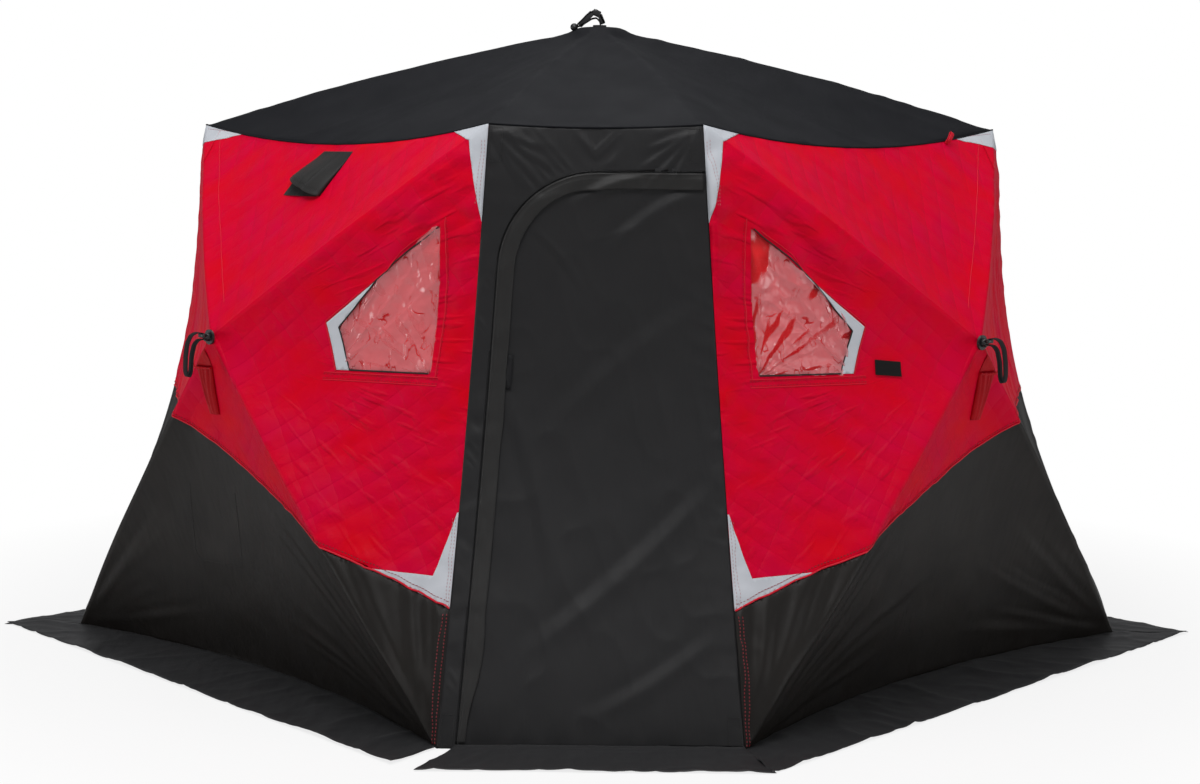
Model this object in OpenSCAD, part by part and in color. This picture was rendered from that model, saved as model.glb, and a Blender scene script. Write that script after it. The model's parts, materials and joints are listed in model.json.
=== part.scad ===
// Six-sided pop-up fabric hut for ice fishing.
// Four wide walls are pushed out by rods that spring from a hub in each wall.
// Narrow black panels close the front and the back, and the front one has a zipped door.
// X runs to the right, Y runs from the front to the back and Z is up.
// The origin is on the ground under the middle of the roof.

/* [Overall size] */
// Height of the flat middle of the roof
roof_height = 2005; // [1850:1:2410]
// Height of the six corners of the eave
eave_height = 1682; // [1450:1:1780]
// Half of the width of the front and back panels at the eave
panel_top_half = 298; // [240:1:380]
// Half of the width of the front and back panels at the ground
panel_base_half = 417; // [345:1:501]
// Distance from the middle to the front and back eaves
front_top_reach = 1007; // [880:1:1150]
// Distance from the middle to the front and back panels at the ground
front_base_reach = 1362; // [1200:1:1500]
// Distance from the middle to the side corners at the eave
side_top_reach = 1289; // [1100:1:1450]
// Distance from the middle to the side corners at the ground
side_base_reach = 1747; // [1450:1:1900]

/* [Wall hubs and rods] */
// Height of the hub in each wide wall
hub_height = 1059; // [900:1:1150]
// How far each wall hub stands out of the flat of its wall
hub_push = 316; // [240:1:380]
// Diameter of the rods
rod_diameter = 11; // [8:1:14]
// How far the rods bow outwards in the middle
rod_bow = 20; // [0:1:26]
// Distance from a corner of the cloth to the middle of its cup
cup_inset = 34; // [32:1:44]
// Diameter of the hub bodies
hub_diameter = 64; // [50:2:72]
// Thickness of the hub bodies
hub_thickness = 20; // [14:1:24]
// Diameter of the stem that passes through the cloth
stem_diameter = 16; // [10:1:24]
// Diameter of the button outside the cloth
button_diameter = 44; // [36:1:60]
// Diameter of the corner cups
cup_diameter = 36; // [28:1:44]

/* [Cloth] */
// Thickness of the wall, roof and door cloth
cloth = 6; // [4:0.1:8]
// Thickness of patches, straps and flaps laid on the cloth
trim = 2.5; // [1.5:0.5:4]
// How far the eave of a wide wall hangs below its corners
eave_drop = 60; // [20:1:110]
// How far the front and back eaves hang below their corners
panel_eave_drop = 10; // [0:1:25]
// How far the side corner seams are drawn inwards
side_draw = 112; // [40:1:140]
// How far the door panel and its seams are drawn inwards
panel_draw = 120; // [40:1:140]
// How far the base of a wide wall is drawn inwards
base_draw = 130; // [60:1:160]
// Radius of the flat middle of the roof
crown_radius = 52; // [46:1:70]

/* [Colour seam] */
// Height of the seam between red and black cloth at the door panel
seam_front = 355; // [250:5:450]
// Height of that seam at the side corner
seam_side = 820; // [650:5:900]

/* [Windows] */
// Distance of the window's upright edge from the foot of the door seam
window_near = 280; // [240:5:320]
// Distance of the window's outer point from the foot of the door seam
window_far = 548; // [480:2:600]
// Height of the window's bottom edge
window_bottom = 980; // [900:5:1020]
// Height of the window's outer point
window_middle = 1101; // [1060:1:1160]
// Height of the window's top point
window_top = 1394; // [1300:2:1430]
// Width of the reflective border on the window's outer sides
window_border = 34; // [20:1:45]
// Thickness of the clear window sheet
window_sheet = 3; // [2:0.5:4]

/* [Door] */
// Width of the fixed strip between the door and the left seam
door_strip = 52; // [40:1:80]
// Height of the door's top edge
door_top = 1550; // [1400:5:1600]
// Radius of the door's upper corner
door_corner = 280; // [150:5:320]
// Gap round the door
door_gap = 6; // [5:0.5:9]
// Width of the storm flap over the door's zip
flap_width = 46; // [30:1:60]
// Length of the hinge end of the door that clears the ground
door_heel = 215; // [190:5:260]
// How far the fixed skirt stays inside that end
heel_margin = 15; // [5:1:30]
// Height of the door's lower edge at its hinge end
door_lift = 12; // [10:1:20]

/* [Ground skirt] */
// Width of the skirt at the corners of the wide walls
skirt_width = 180; // [120:5:240]
// Width of the skirt in front of the door
door_skirt_width = 198; // [120:2:240]
// Thickness of the skirt
skirt = 3; // [2:0.5:5]
// Gap between the moving and the fixed part of the front skirt
skirt_gap = 36; // [18:1:50]

/* [Straps and pouches] */
// Width of the webbing
webbing_width = 25; // [20:1:38]
// Length of the pull loops on the wall hubs
pull_length = 122; // [80:1:150]
// Width of the pull loops
pull_gap = 42; // [36:1:50]
// Height of the loop on the roof
roof_loop_height = 54; // [46:1:80]
// Height of the rope pouches
pouch_height = 130; // [90:1:160]
// Width of the rope pouches
pouch_width = 74; // [50:1:90]
// Depth of the rope pouches
pouch_depth = 30; // [20:1:45]

/* [Hidden] */
$fn = 48;
steps = 12;
rings = 5;
seat = 0.3;

TF = [panel_top_half, -front_top_reach, eave_height];
TS = [side_top_reach, 0, eave_height];
BF = [panel_base_half, -front_base_reach, 0];
BS = [side_base_reach, 0, 0];

wall_angle = atan2(BS.y - BF.y, BS.x - BF.x);
wall_along = [cos(wall_angle), sin(wall_angle), 0];
wall_out = [sin(wall_angle), -cos(wall_angle), 0];
hub_share = hub_height / eave_height;
HUB = (BF + (TF - BF) * hub_share + BS + (TS - BS) * hub_share) / 2 + wall_out * hub_push;
APEX = [0, 0, roof_height];

skirt_side_tip = side_base_reach + skirt_width / wall_out.x;
front_skirt_y = -front_base_reach - door_skirt_width;
skirt_edge_out = BF * wall_out + skirt_width;
skirt_corner_x = (skirt_edge_out - front_skirt_y * wall_out.y) / wall_out.x;

// ---- Shape of the cloth ----

function hump(t, power) = pow(max(0, 4 * t * (1 - t)), power);
function flat_length(p) = norm([p.x, p.y]);
// A point moved level, towards the middle of the hut
function inward(p, d) = p - [p.x, p.y, 0] * (d / flat_length(p));

// The four sides of a wide wall, each from t = 0 to t = 1, in a closed round
function eave_edge(t) = TF + (TS - TF) * t - [0, 0, eave_drop] * hump(t, 1);
function side_edge(t) = TS + (BS - TS) * t - [side_draw, 0, 0] * hump(t, 1.5);
function base_edge(t) = BS + (BF - BS) * t - wall_out * (base_draw * hump(t, 1));
function door_edge(t) = BF + (TF - BF) * t + [0, panel_draw, 0] * hump(t, 1.5);
function wall_rim(k) =
    let (side = floor(k / steps), t = k / steps - side)
    side == 0 ? eave_edge(t) : side == 1 ? side_edge(t) : side == 2 ? base_edge(t) : door_edge(t);
// A crease over a rod bows out, and the cloth between two rods does not
function crease(k) = pow(abs(2 * (k / steps - floor(k / steps)) - 1), 3);
function wall_point(k, s) =
    HUB + (wall_rim(k) - HUB) * s + wall_out * (rod_bow * hump(s, 1) * crease(k));

// A closed layer of a wide wall, between two distances in from its outer face
module wall_layer(from, to) {
    count = 4 * steps;
    face = [HUB, for (i = [1:rings]) for (k = [0:count - 1]) wall_point(k, i / rings)];
    n = len(face);
    last = 1 + (rings - 1) * count;
    polyhedron(
        points = [for (p = face) inward(p, from), for (p = face) inward(p, to)],
        faces = [
            for (k = [0:count - 1]) let (m = (k + 1) % count) each [
                [0, 1 + k, 1 + m],
                [n, n + 1 + m, n + 1 + k],
                [last + k, n + last + k, n + last + m],
                [last + k, n + last + m, last + m]
            ],
            for (i = [0:rings - 2]) for (k = [0:count - 1])
                let (a = 1 + i * count + k, b = 1 + i * count + (k + 1) % count, c = a + count, d = b + count)
                each [[a, c, d], [a, d, b], [n + a, n + d, n + c], [n + a, n + b, n + d]]
        ]);
}

// An upright prism through a wide wall; points are [distance from the door seam's foot, height]
module wall_prism(points) {
    translate(BF) rotate([90, 0, wall_angle]) translate([0, 0, -600]) linear_extrude(1100) polygon(points);
}

// Puts a piece of the front right wall on any of the four walls
module on_wall(left, back) {
    mirror([left ? 1 : 0, 0, 0]) mirror([0, back ? 1 : 0, 0]) children();
}
module on_every_wall() {
    for (left = [false, true]) for (back = [false, true]) on_wall(left, back) children();
}

// ---- Wide walls ----

window_outline = [
    [window_near, window_top], [window_near + 8, window_bottom],
    [window_far - 40, window_bottom], [window_far, window_middle]
];
border_outline = [
    [window_near + 0.45 * (window_far - window_near), window_top - 0.45 * (window_top - window_middle)],
    [window_far, window_middle], [window_far - 40, window_bottom],
    [window_far - 40 + window_border, window_bottom],
    [window_far + window_border, window_middle + window_border / 3]
];
seam_rise = seam_side - seam_front;
seam_outline = [
    [-400, seam_front - 240], [85, seam_front], [290, seam_front + 0.2 * seam_rise],
    [820, seam_front + 0.62 * seam_rise], [1150, seam_front + 0.96 * seam_rise], [1445, seam_side],
    [2400, seam_side + 60], [2400, -100], [-400, -100]
];

module stem_hole() {
    translate(HUB) rotate([90, 0, wall_angle]) cylinder(d = stem_diameter + 2 * seat, h = 200, center = true);
}
module wall_cloth() {
    color("crimson") difference() {
        wall_layer(0, cloth);
        wall_prism(seam_outline);
        wall_prism(window_outline);
        stem_hole();
    }
}
module lower_wall_cloth() {
    color([0.14, 0.13, 0.12]) intersection() {
        wall_layer(0, cloth);
        wall_prism(seam_outline);
    }
}

module window_sheets() {
    color([0.8, 0.85, 0.9]) on_every_wall() intersection() {
        wall_layer(0, window_sheet);
        wall_prism(window_outline);
    }
}
module window_covers() {
    color("firebrick") on_every_wall() intersection() {
        wall_layer(window_sheet, cloth);
        wall_prism(window_outline);
    }
}
module window_borders() {
    color("gainsboro") on_every_wall() intersection() {
        wall_layer(-trim, 0);
        wall_prism(border_outline);
    }
}

// Pale patches at the eave corners and on the lower end of the door seams
patch_front = [[100, 1800], [100, 1430], [178, 1410], [216, 1640], [330, 1640], [330, 1800]];
patch_side = [[1400, 1800], [1400, 1648], [1590, 1612], [1700, 1640], [1700, 1800]];
patch_low = [[50, 620], [141, 605], [148, 436], [290, 455], [85, 361], [40, 340]];
module reflective_patches() {
    color("gainsboro") on_every_wall() intersection() {
        wall_layer(-trim, 0);
        for (outline = [patch_front, patch_side, patch_low]) wall_prism(outline);
    }
}

// ---- Front and back panels ----

function panel_point(u, v) =
    let (seam = door_edge(u))
    [seam.x * v, seam.y, seam.z - panel_eave_drop * hump((v + 1) / 2, 1) * pow(u, 6)];

// A closed layer of the front panel, between two distances in from its outer face
module panel_layer(from, to) {
    columns = 6;
    row = columns + 1;
    face = [for (i = [0:steps]) for (j = [0:columns]) panel_point(i / steps, 2 * j / columns - 1)];
    n = len(face);
    polyhedron(
        points = [for (p = face) inward(p, from), for (p = face) inward(p, to)],
        faces = [
            for (i = [0:steps - 1]) for (j = [0:columns - 1])
                let (a = i * row + j, b = a + 1, c = a + row, d = c + 1)
                each [[a, c, d], [a, d, b], [n + a, n + d, n + c], [n + a, n + b, n + d]],
            for (j = [0:columns - 1]) let (top = steps * row + j) each [
                [j, j + 1, n + j + 1], [j, n + j + 1, n + j],
                [top, n + top + 1, top + 1], [top, n + top, n + top + 1]
            ],
            for (i = [0:steps - 1]) let (a = i * row, b = a + columns) each [
                [a, n + a, n + a + row], [a, n + a + row, a + row],
                [b, n + b + row, n + b], [b, b + row, n + b + row]
            ]
        ]);
}

// The door's outline in the panel, seen from the front, grown by d on the zipped sides
function seam_x(z) = panel_base_half + (panel_top_half - panel_base_half) * z / eave_height;
door_lean = atan2(panel_base_half - panel_top_half, eave_height);
function zip_x(z, d) = door_strip - seam_x(z) - d / cos(door_lean);
function zip_outline(d) =
    let (radius = door_corner + d, cz = door_top - door_corner, cx = zip_x(cz, d) + radius / cos(door_lean))
    [
        [zip_x(-50, d), -50],
        for (k = [0:12]) let (a = 180 - door_lean - (90 - door_lean) * k / 12)
            [cx + radius * cos(a), cz + radius * sin(a)]
    ];
module front_prism(points) {
    translate([0, -front_top_reach + 300, 0]) rotate([90, 0, 0]) linear_extrude(900) polygon(points);
}
module zip_prism(d, right) {
    front_prism(concat(zip_outline(d), [
        [seam_x(door_top) + right, door_top + d], [seam_x(-50) + right, -50]
    ]));
}

module door_surround() {
    color([0.14, 0.13, 0.12]) difference() {
        panel_layer(0, cloth);
        zip_prism(door_gap / 2, 100);
    }
}
// The wall's edge slants inwards along the hinge seam, and the door just clears it
hinge_gap = 0.32 * cloth + 2 * seat;
module front_door() {
    color([0.17, 0.16, 0.15]) difference() {
        intersection() {
            panel_layer(0, cloth);
            zip_prism(-door_gap / 2, -hinge_gap);
        }
        front_prism([
            [panel_base_half - door_heel, -60], [panel_base_half - door_heel, door_lift],
            [panel_base_half + 60, door_lift], [panel_base_half + 60, -60]
        ]);
    }
}
module storm_flap_shape(right) {
    difference() {
        intersection() {
            panel_layer(-trim, 0);
            zip_prism(-door_gap / 2, right);
        }
        zip_prism(-door_gap / 2 - flap_width, 100);
        front_prism([[-600, -60], [-600, door_lift], [600, door_lift], [600, -60]]);
    }
}
module door_storm_flap() {
    color([0.1, 0.1, 0.1]) storm_flap_shape(-hinge_gap);
}
module door_pull_tab() {
    low = 940;
    high = 1040;
    edge = -door_gap / 2 - flap_width - seat;
    color([0.1, 0.1, 0.1]) intersection() {
        panel_layer(-trim, 0);
        front_prism([
            [zip_x(low, edge), low], [zip_x(high, edge), high],
            [zip_x(high, edge) + 17, high], [zip_x(low, edge) + 17, low]
        ]);
    }
}
module back_panel() {
    color([0.14, 0.13, 0.12]) rotate([0, 0, 180]) panel_layer(0, cloth);
}
module back_storm_flap() {
    color([0.1, 0.1, 0.1]) rotate([0, 0, 180]) storm_flap_shape(-hinge_gap);
}

// ---- Roof ----

// A roof panel fans from the flat crown to its eave; s = 0 at the middle and 1 at the eave
module roof_layer(edge, bow_left, bow_right) {
    columns = len(edge) - 1;
    row = columns + 1;
    start = crown_radius / flat_length(edge[0]);
    face = [
        for (i = [0:rings]) let (s = start + (1 - start) * i / rings) for (j = [0:columns])
            let (
                t = j / columns,
                bow = bow_left * pow(1 - t, 3) + bow_right * pow(t, 3),
                flat = edge[j] * (crown_radius / flat_length(edge[j]) / start),
                p = APEX + (i == 0 ? [flat.x, flat.y, 0] * start : (edge[j] - APEX) * s)
            )
            i == 0 ? p : p + [0, 0, bow * hump(s, 1)]
    ];
    under = [
        for (i = [0:rings]) for (j = [0:columns])
            let (p = face[i * row + j], level = pow(i / rings, 3))
            inward(p, cloth * level) - [0, 0, cloth * (1 - level)]
    ];
    n = len(face);
    polyhedron(
        points = concat(face, under),
        faces = [
            for (i = [0:rings - 1]) for (j = [0:columns - 1])
                let (a = i * row + j, b = a + 1, c = a + row, d = c + 1)
                each [[a, b, d], [a, d, c], [n + a, n + d, n + b], [n + a, n + c, n + d]],
            for (j = [0:columns - 1]) let (far = rings * row + j) each [
                [j, n + j + 1, j + 1], [j, n + j, n + j + 1],
                [far, far + 1, n + far + 1], [far, n + far + 1, n + far]
            ],
            for (i = [0:rings - 1]) let (a = i * row, b = a + columns) each [
                [a, a + row, n + a + row], [a, n + a + row, n + a],
                [b, n + b, n + b + row], [b, n + b + row, b + row]
            ]
        ]);
}
roof_bow = 24;
module narrow_roof() {
    color([0.18, 0.19, 0.21]) roof_layer([for (j = [0:6]) panel_point(1, 2 * j / 6 - 1)], roof_bow, roof_bow);
}
module wide_roof() {
    color([0.2, 0.21, 0.23]) roof_layer([for (j = [0:steps]) eave_edge(j / steps)], roof_bow, roof_bow);
}
module roof_crown() {
    color([0.18, 0.19, 0.21]) translate([0, 0, roof_height - cloth]) difference() {
        cylinder(r = crown_radius - 0.5, h = cloth);
        translate([0, 0, -1]) cylinder(d = stem_diameter + 2 * seat, h = cloth + 2);
    }
}

// ---- Frame ----

// The cloth slopes back from the hub, so the hub sits deep enough to clear it
hub_inset = 0.8 * hub_diameter / 2 + 1.25 * cloth + hub_thickness / 2 + 5;
wall_hub_middle = HUB - wall_out * hub_inset;
function eave_cup_middle(p) = inward(p, cup_inset) - [0, 0, cup_inset * 0.9];
function ground_cup_middle(p) = inward(p, cup_inset + 6) + [0, 0, cup_diameter / 2];
wall_cups = [eave_cup_middle(TF), eave_cup_middle(TS), ground_cup_middle(BF), ground_cup_middle(BS)];

// A round rod that bows away from the straight line between its ends
module rod(a, b, away) {
    sides = 8;
    parts = 8;
    ahead = (b - a) / norm(b - a);
    across = cross(ahead, away) / norm(cross(ahead, away));
    up = cross(across, ahead);
    path = [for (i = [0:parts]) a + (b - a) * i / parts + away * hump(i / parts, 1)];
    points = [
        for (p = path) for (k = [0:sides - 1])
            p + (across * cos(360 * k / sides) + up * sin(360 * k / sides)) * rod_diameter / 2
    ];
    polyhedron(points = points, faces = [
        [for (k = [0:sides - 1]) k],
        [for (k = [0:sides - 1]) parts * sides + sides - 1 - k],
        for (i = [0:parts - 1]) for (k = [0:sides - 1])
            let (a = i * sides + k, b = i * sides + (k + 1) % sides)
            each [[a, a + sides, b + sides], [a, b + sides, b]]
    ]);
}
// Where a rod starts inside a hub: on its middle plane, on the side that faces the cup
function rod_socket(middle, cup, axis) =
    let (ahead = cup - middle, level = ahead - axis * (ahead * axis))
    middle + level / norm(level) * (0.3 * hub_diameter);
module hub_body(d) {
    cylinder(d = hub_diameter + 2 * d, h = hub_thickness + 2 * d, center = true);
}
module at_wall_hub() {
    translate(wall_hub_middle) rotate([90, 0, wall_angle]) children();
}
module wall_rods() {
    color([0.25, 0.25, 0.27]) difference() {
        union() {
            for (cup = wall_cups) rod(rod_socket(wall_hub_middle, cup, wall_out), cup, wall_out * rod_bow);
        }
        at_wall_hub() hub_body(seat);
        for (cup = wall_cups) translate(cup) sphere(d = cup_diameter + 2 * seat);
    }
}
button_thickness = 7;
module hub_with_button() {
    hub_body(0);
    cylinder(d = stem_diameter, h = hub_inset + 1);
    translate([0, 0, hub_inset + seat]) cylinder(d = button_diameter, h = button_thickness);
}
module wall_hubs() {
    color([0.12, 0.12, 0.13]) on_every_wall() at_wall_hub() hub_with_button();
}
roof_hub_middle = APEX - [0, 0, hub_inset];
module roof_rods() {
    corners = [
        for (x = [-1, 1]) for (y = [-1, 1]) [TF.x * x, TF.y * y, TF.z],
        [TS.x, 0, TS.z], [-TS.x, 0, TS.z]
    ];
    color([0.25, 0.25, 0.27]) difference() {
        union() {
            for (p = corners) let (cup = eave_cup_middle(p))
                rod(rod_socket(roof_hub_middle, cup, [0, 0, 1]), cup, [0, 0, roof_bow]);
        }
        translate(roof_hub_middle) hub_body(seat);
        for (p = corners) translate(eave_cup_middle(p)) sphere(d = cup_diameter + 2 * seat);
    }
}
module roof_hub() {
    color([0.12, 0.12, 0.13]) translate(roof_hub_middle) hub_with_button();
}
module eave_cups() {
    color([0.12, 0.12, 0.13]) {
        for (x = [-1, 1]) for (y = [-1, 1])
            translate(eave_cup_middle([TF.x * x, TF.y * y, TF.z])) sphere(d = cup_diameter);
        for (x = [-1, 1]) translate(eave_cup_middle([TS.x * x, 0, TS.z])) sphere(d = cup_diameter);
    }
}
module ground_cups() {
    color([0.12, 0.12, 0.13]) {
        for (x = [-1, 1]) for (y = [-1, 1])
            translate(ground_cup_middle([BF.x * x, BF.y * y, 0])) sphere(d = cup_diameter);
        for (x = [-1, 1]) translate(ground_cup_middle([BS.x * x, 0, 0])) sphere(d = cup_diameter);
    }
}

// ---- Ground skirt ----

// The middle of the wall leans out above the skirt's inner edge, and the skirt just clears it
wall_lean = (HUB - base_edge(0.5)) * wall_out / HUB.z;
skirt_clearance = skirt * wall_lean + 2 * seat;
base_outline = [for (k = [0:steps]) let (p = base_edge(k / steps) + wall_out * skirt_clearance) [p.x, p.y]];
module wall_skirt_shape(end) {
    polygon(concat(base_outline, end, [[skirt_side_tip, 0]]));
}
free_end = [[skirt_corner_x + 50, front_skirt_y + 50 / tan(90 - wall_angle)]];
mitred_end = [[skirt_corner_x, front_skirt_y]];
front_split_x = panel_base_half - door_heel + heel_margin;
corner_end = [
    [BF.x - door_gap, BF.y - door_gap], [front_split_x, BF.y - door_gap],
    [front_split_x - 20, front_skirt_y], mitred_end[0]
];
module skirt_colour() {
    color([0.12, 0.12, 0.12]) linear_extrude(skirt) children();
}
module skirt_front_left() {
    skirt_colour() mirror([1, 0]) wall_skirt_shape(free_end);
}
module skirt_front_right() {
    skirt_colour() wall_skirt_shape(corner_end);
}
module skirt_back_left() {
    skirt_colour() rotate(180) wall_skirt_shape(mitred_end);
}
module skirt_back_right() {
    skirt_colour() rotate(180) mirror([1, 0]) wall_skirt_shape(free_end);
}
module door_skirt() {
    left = zip_x(0, -door_gap / 2);
    right = front_split_x - skirt_gap;
    skirt_colour() polygon([
        [left, BF.y], [-skirt_corner_x + 16, front_skirt_y],
        [right - 20, front_skirt_y], [right, BF.y]
    ]);
}
module skirt_back() {
    skirt_colour() rotate(180) polygon([
        [-BF.x, BF.y], [-skirt_corner_x + 16, front_skirt_y],
        [skirt_corner_x - 3, front_skirt_y], [BF.x - 3, BF.y]
    ]);
}

// ---- Straps, pouches and small trim ----

module slot_ring(length, width) {
    module slot(r) {
        hull_half = (length - width) / 2;
        translate([0, hull_half]) circle(r);
        translate([0, -hull_half]) circle(r);
        square([2 * r, 2 * hull_half], center = true);
    }
    linear_extrude(webbing_width, center = true) difference() {
        slot(width / 2);
        slot(width / 2 - trim);
    }
}
module pull_loops() {
    reach = hub_inset + button_thickness + 2 * seat;
    color([0.1, 0.1, 0.1]) on_every_wall() at_wall_hub()
        translate([0, 12 - pull_length / 2, reach + pull_gap / 2]) rotate([0, 90, 0])
            slot_ring(pull_length, pull_gap);
}
module roof_loop() {
    base = roof_height + button_thickness + 2 * seat;
    color([0.1, 0.1, 0.1]) translate([0, 0, base + roof_loop_height / 2]) rotate([90, 0, 0])
        slot_ring(roof_loop_height, webbing_width + 5);
}
module rope_pouches() {
    middle = wall_point(2.35 * steps, 0.18);
    lean = atan(wall_lean);
    color("crimson") on_every_wall() difference() {
        translate(middle) rotate([90, 0, wall_angle]) rotate([lean, 0, 0])
            translate([-pouch_width / 2, -pouch_height / 2, -4]) linear_extrude(pouch_depth) union() {
                square([pouch_width, pouch_height - pouch_width / 2]);
                translate([pouch_width / 2, pouch_height - pouch_width / 2]) circle(d = pouch_width);
            }
        wall_layer(-0.2, 60);
    }
}
// Arched hoods over the vents, under the eave of one front wall and of the wall across from it
hood_outline = [[765, 1598], [915, 1598], [993, 1525], [990, 1468], [815, 1466]];
module vent_hoods() {
    color([0.12, 0.12, 0.12]) for (turn = [0, 180]) rotate([0, 0, turn]) on_wall(true, false) intersection() {
        wall_layer(-28, 0);
        wall_prism(hood_outline);
    }
}
// Hook tape beside one window, and the same on the wall across from it
module trim_tabs() {
    color([0.1, 0.1, 0.1]) for (turn = [0, 180]) rotate([0, 0, turn]) intersection() {
        wall_layer(-trim, 0);
        wall_prism([[600, 975], [668, 968], [672, 1010], [604, 1018]]);
    }
}

on_wall(true, false) wall_cloth();  // wall_front_left
on_wall(false, false) wall_cloth();  // wall_front_right
on_wall(true, true) wall_cloth();  // wall_back_left
on_wall(false, true) wall_cloth();  // wall_back_right
on_wall(true, false) lower_wall_cloth();  // lower_wall_front_left
on_wall(false, false) lower_wall_cloth();  // lower_wall_front_right
on_wall(true, true) lower_wall_cloth();  // lower_wall_back_left
on_wall(false, true) lower_wall_cloth();  // lower_wall_back_right
narrow_roof();  // roof_front
rotate([0, 0, 180]) narrow_roof();  // roof_back
on_wall(true, false) wide_roof();  // roof_front_left
on_wall(false, false) wide_roof();  // roof_front_right
on_wall(true, true) wide_roof();  // roof_back_left
on_wall(false, true) wide_roof();  // roof_back_right
roof_crown();
door_surround();
front_door();
door_storm_flap();
door_pull_tab();
door_skirt();
back_panel();
back_storm_flap();
window_sheets();
window_covers();
window_borders();
reflective_patches();
on_wall(true, false) wall_rods();  // rods_front_left
on_wall(false, false) wall_rods();  // rods_front_right
on_wall(true, true) wall_rods();  // rods_back_left
on_wall(false, true) wall_rods();  // rods_back_right
roof_rods();
wall_hubs();
roof_hub();
eave_cups();
ground_cups();
skirt_front_left();
skirt_front_right();
skirt_back_left();
skirt_back_right();
skirt_back();
pull_loops();
roof_loop();
rope_pouches();
vent_hoods();
trim_tabs();
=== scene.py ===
"""The looks of a six-sided pop-up fabric ice fishing hut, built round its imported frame.

X runs to the right, Y from the front to the back and Z is up, in metres. Every cloth panel starts as a
circle or a plain grid, is subdivided, bent to the shape of the frame, cut along its seams and folded by
formulas. Each wide wall is worked out as the front right one and mirrored to its place.
"""

import json
import math
from functools import reduce

import bmesh
import bpy
import numpy as np
from mathutils import Matrix, Vector
from mathutils.bvhtree import BVHTree

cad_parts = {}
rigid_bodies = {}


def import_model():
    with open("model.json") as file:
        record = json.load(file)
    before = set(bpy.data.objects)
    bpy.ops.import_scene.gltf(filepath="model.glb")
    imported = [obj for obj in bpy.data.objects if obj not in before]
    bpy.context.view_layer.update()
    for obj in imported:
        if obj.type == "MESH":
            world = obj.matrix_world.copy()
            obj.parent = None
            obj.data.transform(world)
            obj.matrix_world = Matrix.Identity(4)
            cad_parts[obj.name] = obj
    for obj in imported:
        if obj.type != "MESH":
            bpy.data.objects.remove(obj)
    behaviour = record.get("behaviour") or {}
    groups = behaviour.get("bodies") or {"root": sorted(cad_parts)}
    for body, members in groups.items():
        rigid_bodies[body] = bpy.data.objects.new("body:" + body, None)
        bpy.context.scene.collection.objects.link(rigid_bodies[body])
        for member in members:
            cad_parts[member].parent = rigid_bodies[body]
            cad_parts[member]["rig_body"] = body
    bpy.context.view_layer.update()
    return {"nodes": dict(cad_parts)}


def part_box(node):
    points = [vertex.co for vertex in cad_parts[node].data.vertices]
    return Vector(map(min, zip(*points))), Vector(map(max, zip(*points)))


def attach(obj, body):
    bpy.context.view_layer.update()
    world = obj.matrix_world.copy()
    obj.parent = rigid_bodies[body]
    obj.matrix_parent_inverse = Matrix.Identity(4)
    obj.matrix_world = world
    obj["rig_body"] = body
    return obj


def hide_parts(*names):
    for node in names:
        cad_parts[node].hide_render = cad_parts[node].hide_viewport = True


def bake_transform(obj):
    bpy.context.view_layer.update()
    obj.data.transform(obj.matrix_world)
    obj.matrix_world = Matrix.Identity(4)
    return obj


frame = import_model()

# ---- Camera ----

CAMERA_PLACE = (0.0553, -6.5875, 1.619)
CAMERA_TURN = 0.0070
CAMERA_TILT = 0.1225
CAMERA_ROLL = 0.0067
CAMERA_LENS = 59.73


def make_camera():
    data = bpy.data.cameras.new("camera")
    data.lens = CAMERA_LENS
    data.sensor_width = 36
    camera = bpy.data.objects.new("camera", data)
    bpy.context.collection.objects.link(camera)
    turn = (
        Matrix.Rotation(CAMERA_TURN, 4, "Z")
        @ Matrix.Rotation(math.pi / 2 - CAMERA_TILT, 4, "X")
        @ Matrix.Rotation(CAMERA_ROLL, 4, "Z")
    )
    camera.matrix_world = Matrix.Translation(CAMERA_PLACE) @ turn
    bpy.context.scene.camera = camera


make_camera()

# ---- Sizes taken from the frame ----

surround_low, surround_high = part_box("door_surround")
eave_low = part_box("roof_front")[0]
BASE_HALF = -surround_low.x
BASE_REACH = -surround_low.y
EAVE_HEIGHT = surround_high.z
TOP_HALF = -eave_low.x
TOP_REACH = -eave_low.y
SIDE_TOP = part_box("roof_front_right")[1].x
SIDE_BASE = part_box("lower_wall_front_right")[1].x
ROOF_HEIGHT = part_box("roof_crown")[1].z
SKIRT_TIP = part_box("skirt_front_right")[1].x
FRONT_SKIRT = -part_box("door_skirt")[0].y

# ---- Driving sizes of the cloth ----

HUB_HEIGHT = 1.059
HUB_PUSH = 0.316
EAVE_DROP = 0.060
PANEL_EAVE_DROP = 0.010
SIDE_DRAW = 0.112
PANEL_DRAW = 0.120
BASE_DRAW = 0.130
ROD_BOW = 0.020
ROOF_BOW = 0.024
CROWN_RADIUS = 0.052
CLOTH = 0.0022
TRIM = 0.0012
DOOR_STRIP = 0.052
DOOR_TOP = 1.550
DOOR_CORNER = 0.280
DOOR_LIFT = 0.012
DOOR_HEEL = 0.215
FLAP_WIDTH = 0.046
FLAP_FLAT = (FLAP_WIDTH * 1.1, 2.35)
ZIP_HALF = 0.003
HINGE_GAP = 0.0025
FRONT_DETAIL = 124
BACK_DETAIL = 84
PANEL_DETAIL = (112, 228)
BACK_PANEL_DETAIL = (80, 160)

TOP_FRONT = np.array([TOP_HALF, -TOP_REACH, EAVE_HEIGHT])
TOP_SIDE = np.array([SIDE_TOP, 0.0, EAVE_HEIGHT])
BASE_FRONT = np.array([BASE_HALF, -BASE_REACH, 0.0])
BASE_SIDE = np.array([SIDE_BASE, 0.0, 0.0])
APEX = np.array([0.0, 0.0, ROOF_HEIGHT])
ACROSS = np.array([1.0, 0.0, 0.0])
BACK = np.array([0.0, 1.0, 0.0])
UP = np.array([0.0, 0.0, 1.0])

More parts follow.
